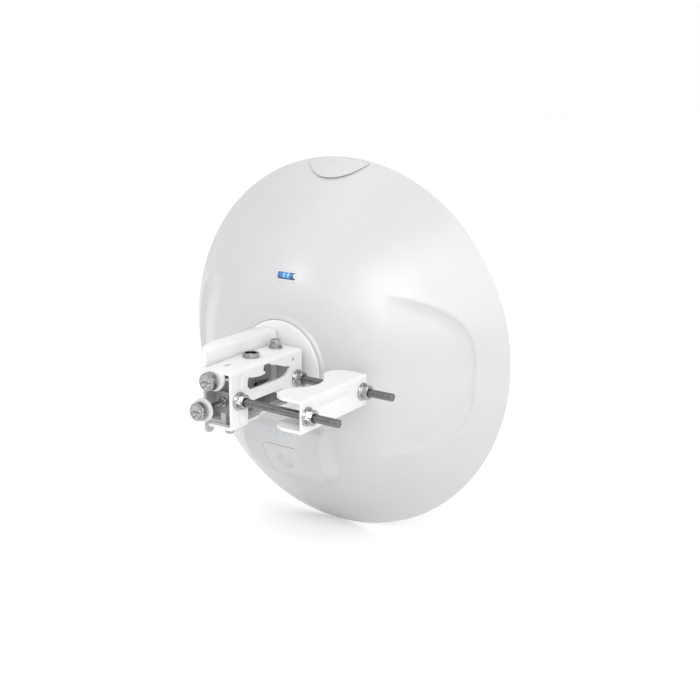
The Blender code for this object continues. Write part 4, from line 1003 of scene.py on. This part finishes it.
knurled("fine_azimuth_head", 2.8, "azimuth_drive", "azimuth_knob")
az_rod = threaded("fine_azimuth_rod", 2.5, 0.8, -62.6, -27.0, "Y", (AZ_KNOB[0], 0, AZ_KNOB[2]), (), 24, 0.35)
dress(az_rod, "azimuth_drive", ("azimuth_screw",), "screw_steel", 60.0)
el_axis = (EL_KNOB[0], 0, EL_KNOB[2])
knurled("fine_elevation_head", 3.3, "elevation_drive", "elevation_knob")
disc = revolve("friction_disc", [(3.3, -67.4), (10.4, -67.4), (11.2, -67.8), (11.5, -68.5), (11.5, -69.8),
                                 (11.2, -70.4),
                                 (10.6, -70.7), (7.0, -70.7), (6.6, -70.3), (3.3, -70.3)], "Y", el_axis, 120)
dress(disc, "elevation_drive", ("elevation_knob_disc",), "white_trim", 35.0)
collar = revolve("c", [(0.0, -39.3), (4.7, -39.3), (5.0, -39.6), (5.0, -41.2), (4.7, -41.5), (0.0, -41.5)],
                 "Y",
                 el_axis, 64)
shank = revolve("c", [(0.0, -41.3), (2.9, -41.3), (2.9, -74.6), (0.0, -74.6)], "Y", el_axis, 48)
el_rod = threaded("fine_elevation_rod", 3.0, 1.0, -39.5, 33.0, "Y", el_axis, [collar, shank], 28, 0.4)
dress(el_rod, "elevation_drive", ("elevation_screw",), "steel", 40.0)

# ---- pieces that keep their own shape ------------------------------------
KEPT = {
    "aluminium": ("hub_backing_ring", "heat_spreader", "main_reflector", "feed_horn", "sub_reflector"),
    "dark_plastic": ("reset_switch", "reset_button"),
    "rubber": ("rim_gasket",),
    "board": ("main_board",),
}
kept = {name: kind for kind, names in KEPT.items() for name in names}
for name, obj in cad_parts.items():
    kind = kept.get(name, "steel")
    obj.data.materials.clear()
    obj.data.materials.append(M[kind])

# ---- stage, light and camera ---------------------------------------------
FLOOR_R = 30.0
FLOOR_STEPS = 96
FLOOR_Z = round(cad_box[0][2] - 0.0002, 4)
floor_mesh = bpy.data.meshes.new("floor")
around = [(*point, FLOOR_Z) for point in circle(0.0, 0.0, FLOOR_R, FLOOR_STEPS)]
floor_mesh.from_pydata(around, [], [tuple(range(FLOOR_STEPS))])
pale = surface_material("floor", (0.93, 0.93, 0.93), (0.945, 0.945, 0.945), 0.8, grain=8.0, bump=0.0,
                        patch=0.5)
pale.node_tree.nodes["Principled BSDF"].inputs["Specular IOR Level"].default_value = 0.1
spot = node(pale.node_tree, "ShaderNodeTexCoord")
span = node(pale.node_tree, "ShaderNodeVectorMath", operation="LENGTH")
fade = node(pale.node_tree, "ShaderNodeMapRange", interpolation_type="SMOOTHSTEP")
fade.inputs["From Min"].default_value = 0.8
fade.inputs["From Max"].default_value = 3.5
blend = node(pale.node_tree, "ShaderNodeMix", data_type="RGBA")
ramp_out = pale.node_tree.nodes["Principled BSDF"].inputs["Base Color"].links[0].from_socket
pale.node_tree.links.new(spot.outputs["Object"], span.inputs[0])
pale.node_tree.links.new(span.outputs["Value"], fade.inputs["Value"])
pale.node_tree.links.new(fade.outputs["Result"], blend.inputs["Factor"])
pale.node_tree.links.new(ramp_out, blend.inputs[6])
blend.inputs[7].default_value = (1.0, 1.0, 1.0, 1.0)
pale.node_tree.links.new(blend.outputs[2], pale.node_tree.nodes["Principled BSDF"].inputs["Base Color"])
floor_mesh.materials.append(pale)
floor = bpy.data.objects.new("floor", floor_mesh)
scene.collection.objects.link(floor)


def lamp(name, place, target, size, power):
    data = bpy.data.lights.new(name, "AREA")
    data.size = size
    data.energy = power
    made = bpy.data.objects.new(name, data)
    made.location = place
    made.rotation_euler = (Vector(target) - Vector(place)).to_track_quat("-Z", "Y").to_euler()
    scene.collection.objects.link(made)


world = bpy.data.worlds.new("studio")
scene.world = world
world.use_nodes = True
world.node_tree.nodes["Background"].inputs["Color"].default_value = (1.0, 1.0, 1.0, 1.0)
world.node_tree.nodes["Background"].inputs["Strength"].default_value = 1.0
lamp("key", (0.90, -1.15, 1.25), (0.05, 0.10, 0.05), 0.9, 14.0)
lamp("side key", (1.60, -0.95, 0.85), (0.0, 0.10, 0.0), 1.2, 12.0)
lamp("overhead", (-0.55, -0.10, 1.50), (-0.03, 0.08, 0.0), 0.7, 1.2)
lamp("front fill", (-1.3, 2.2, 0.9), (-0.1, 0.2, 0.05), 0.8, 14.0)
lamp("side glint", (-0.91, -1.15, 1.03), (0.04, 0.0, 0.0), 0.45, 4.2)

camera_data = bpy.data.cameras.new("camera")
camera_data.lens = 50.0
camera_data.sensor_width = 36.0
camera_data.clip_end = 60.0
camera = bpy.data.objects.new("camera", camera_data)
ahead = Vector((-0.52744, 0.80904, -0.25934)).normalized()
above = Vector((-0.15136, 0.21089, 0.96572)).normalized()
right = ahead.cross(above).normalized()
above = right.cross(ahead)
turned = Matrix((right, above, -ahead)).transposed().to_4x4()
camera.matrix_world = Matrix.Translation((0.56683, -0.7242, 0.28685)) @ turned
scene.collection.objects.link(camera)
scene.camera = camera
scene.view_settings.view_transform = "Standard"
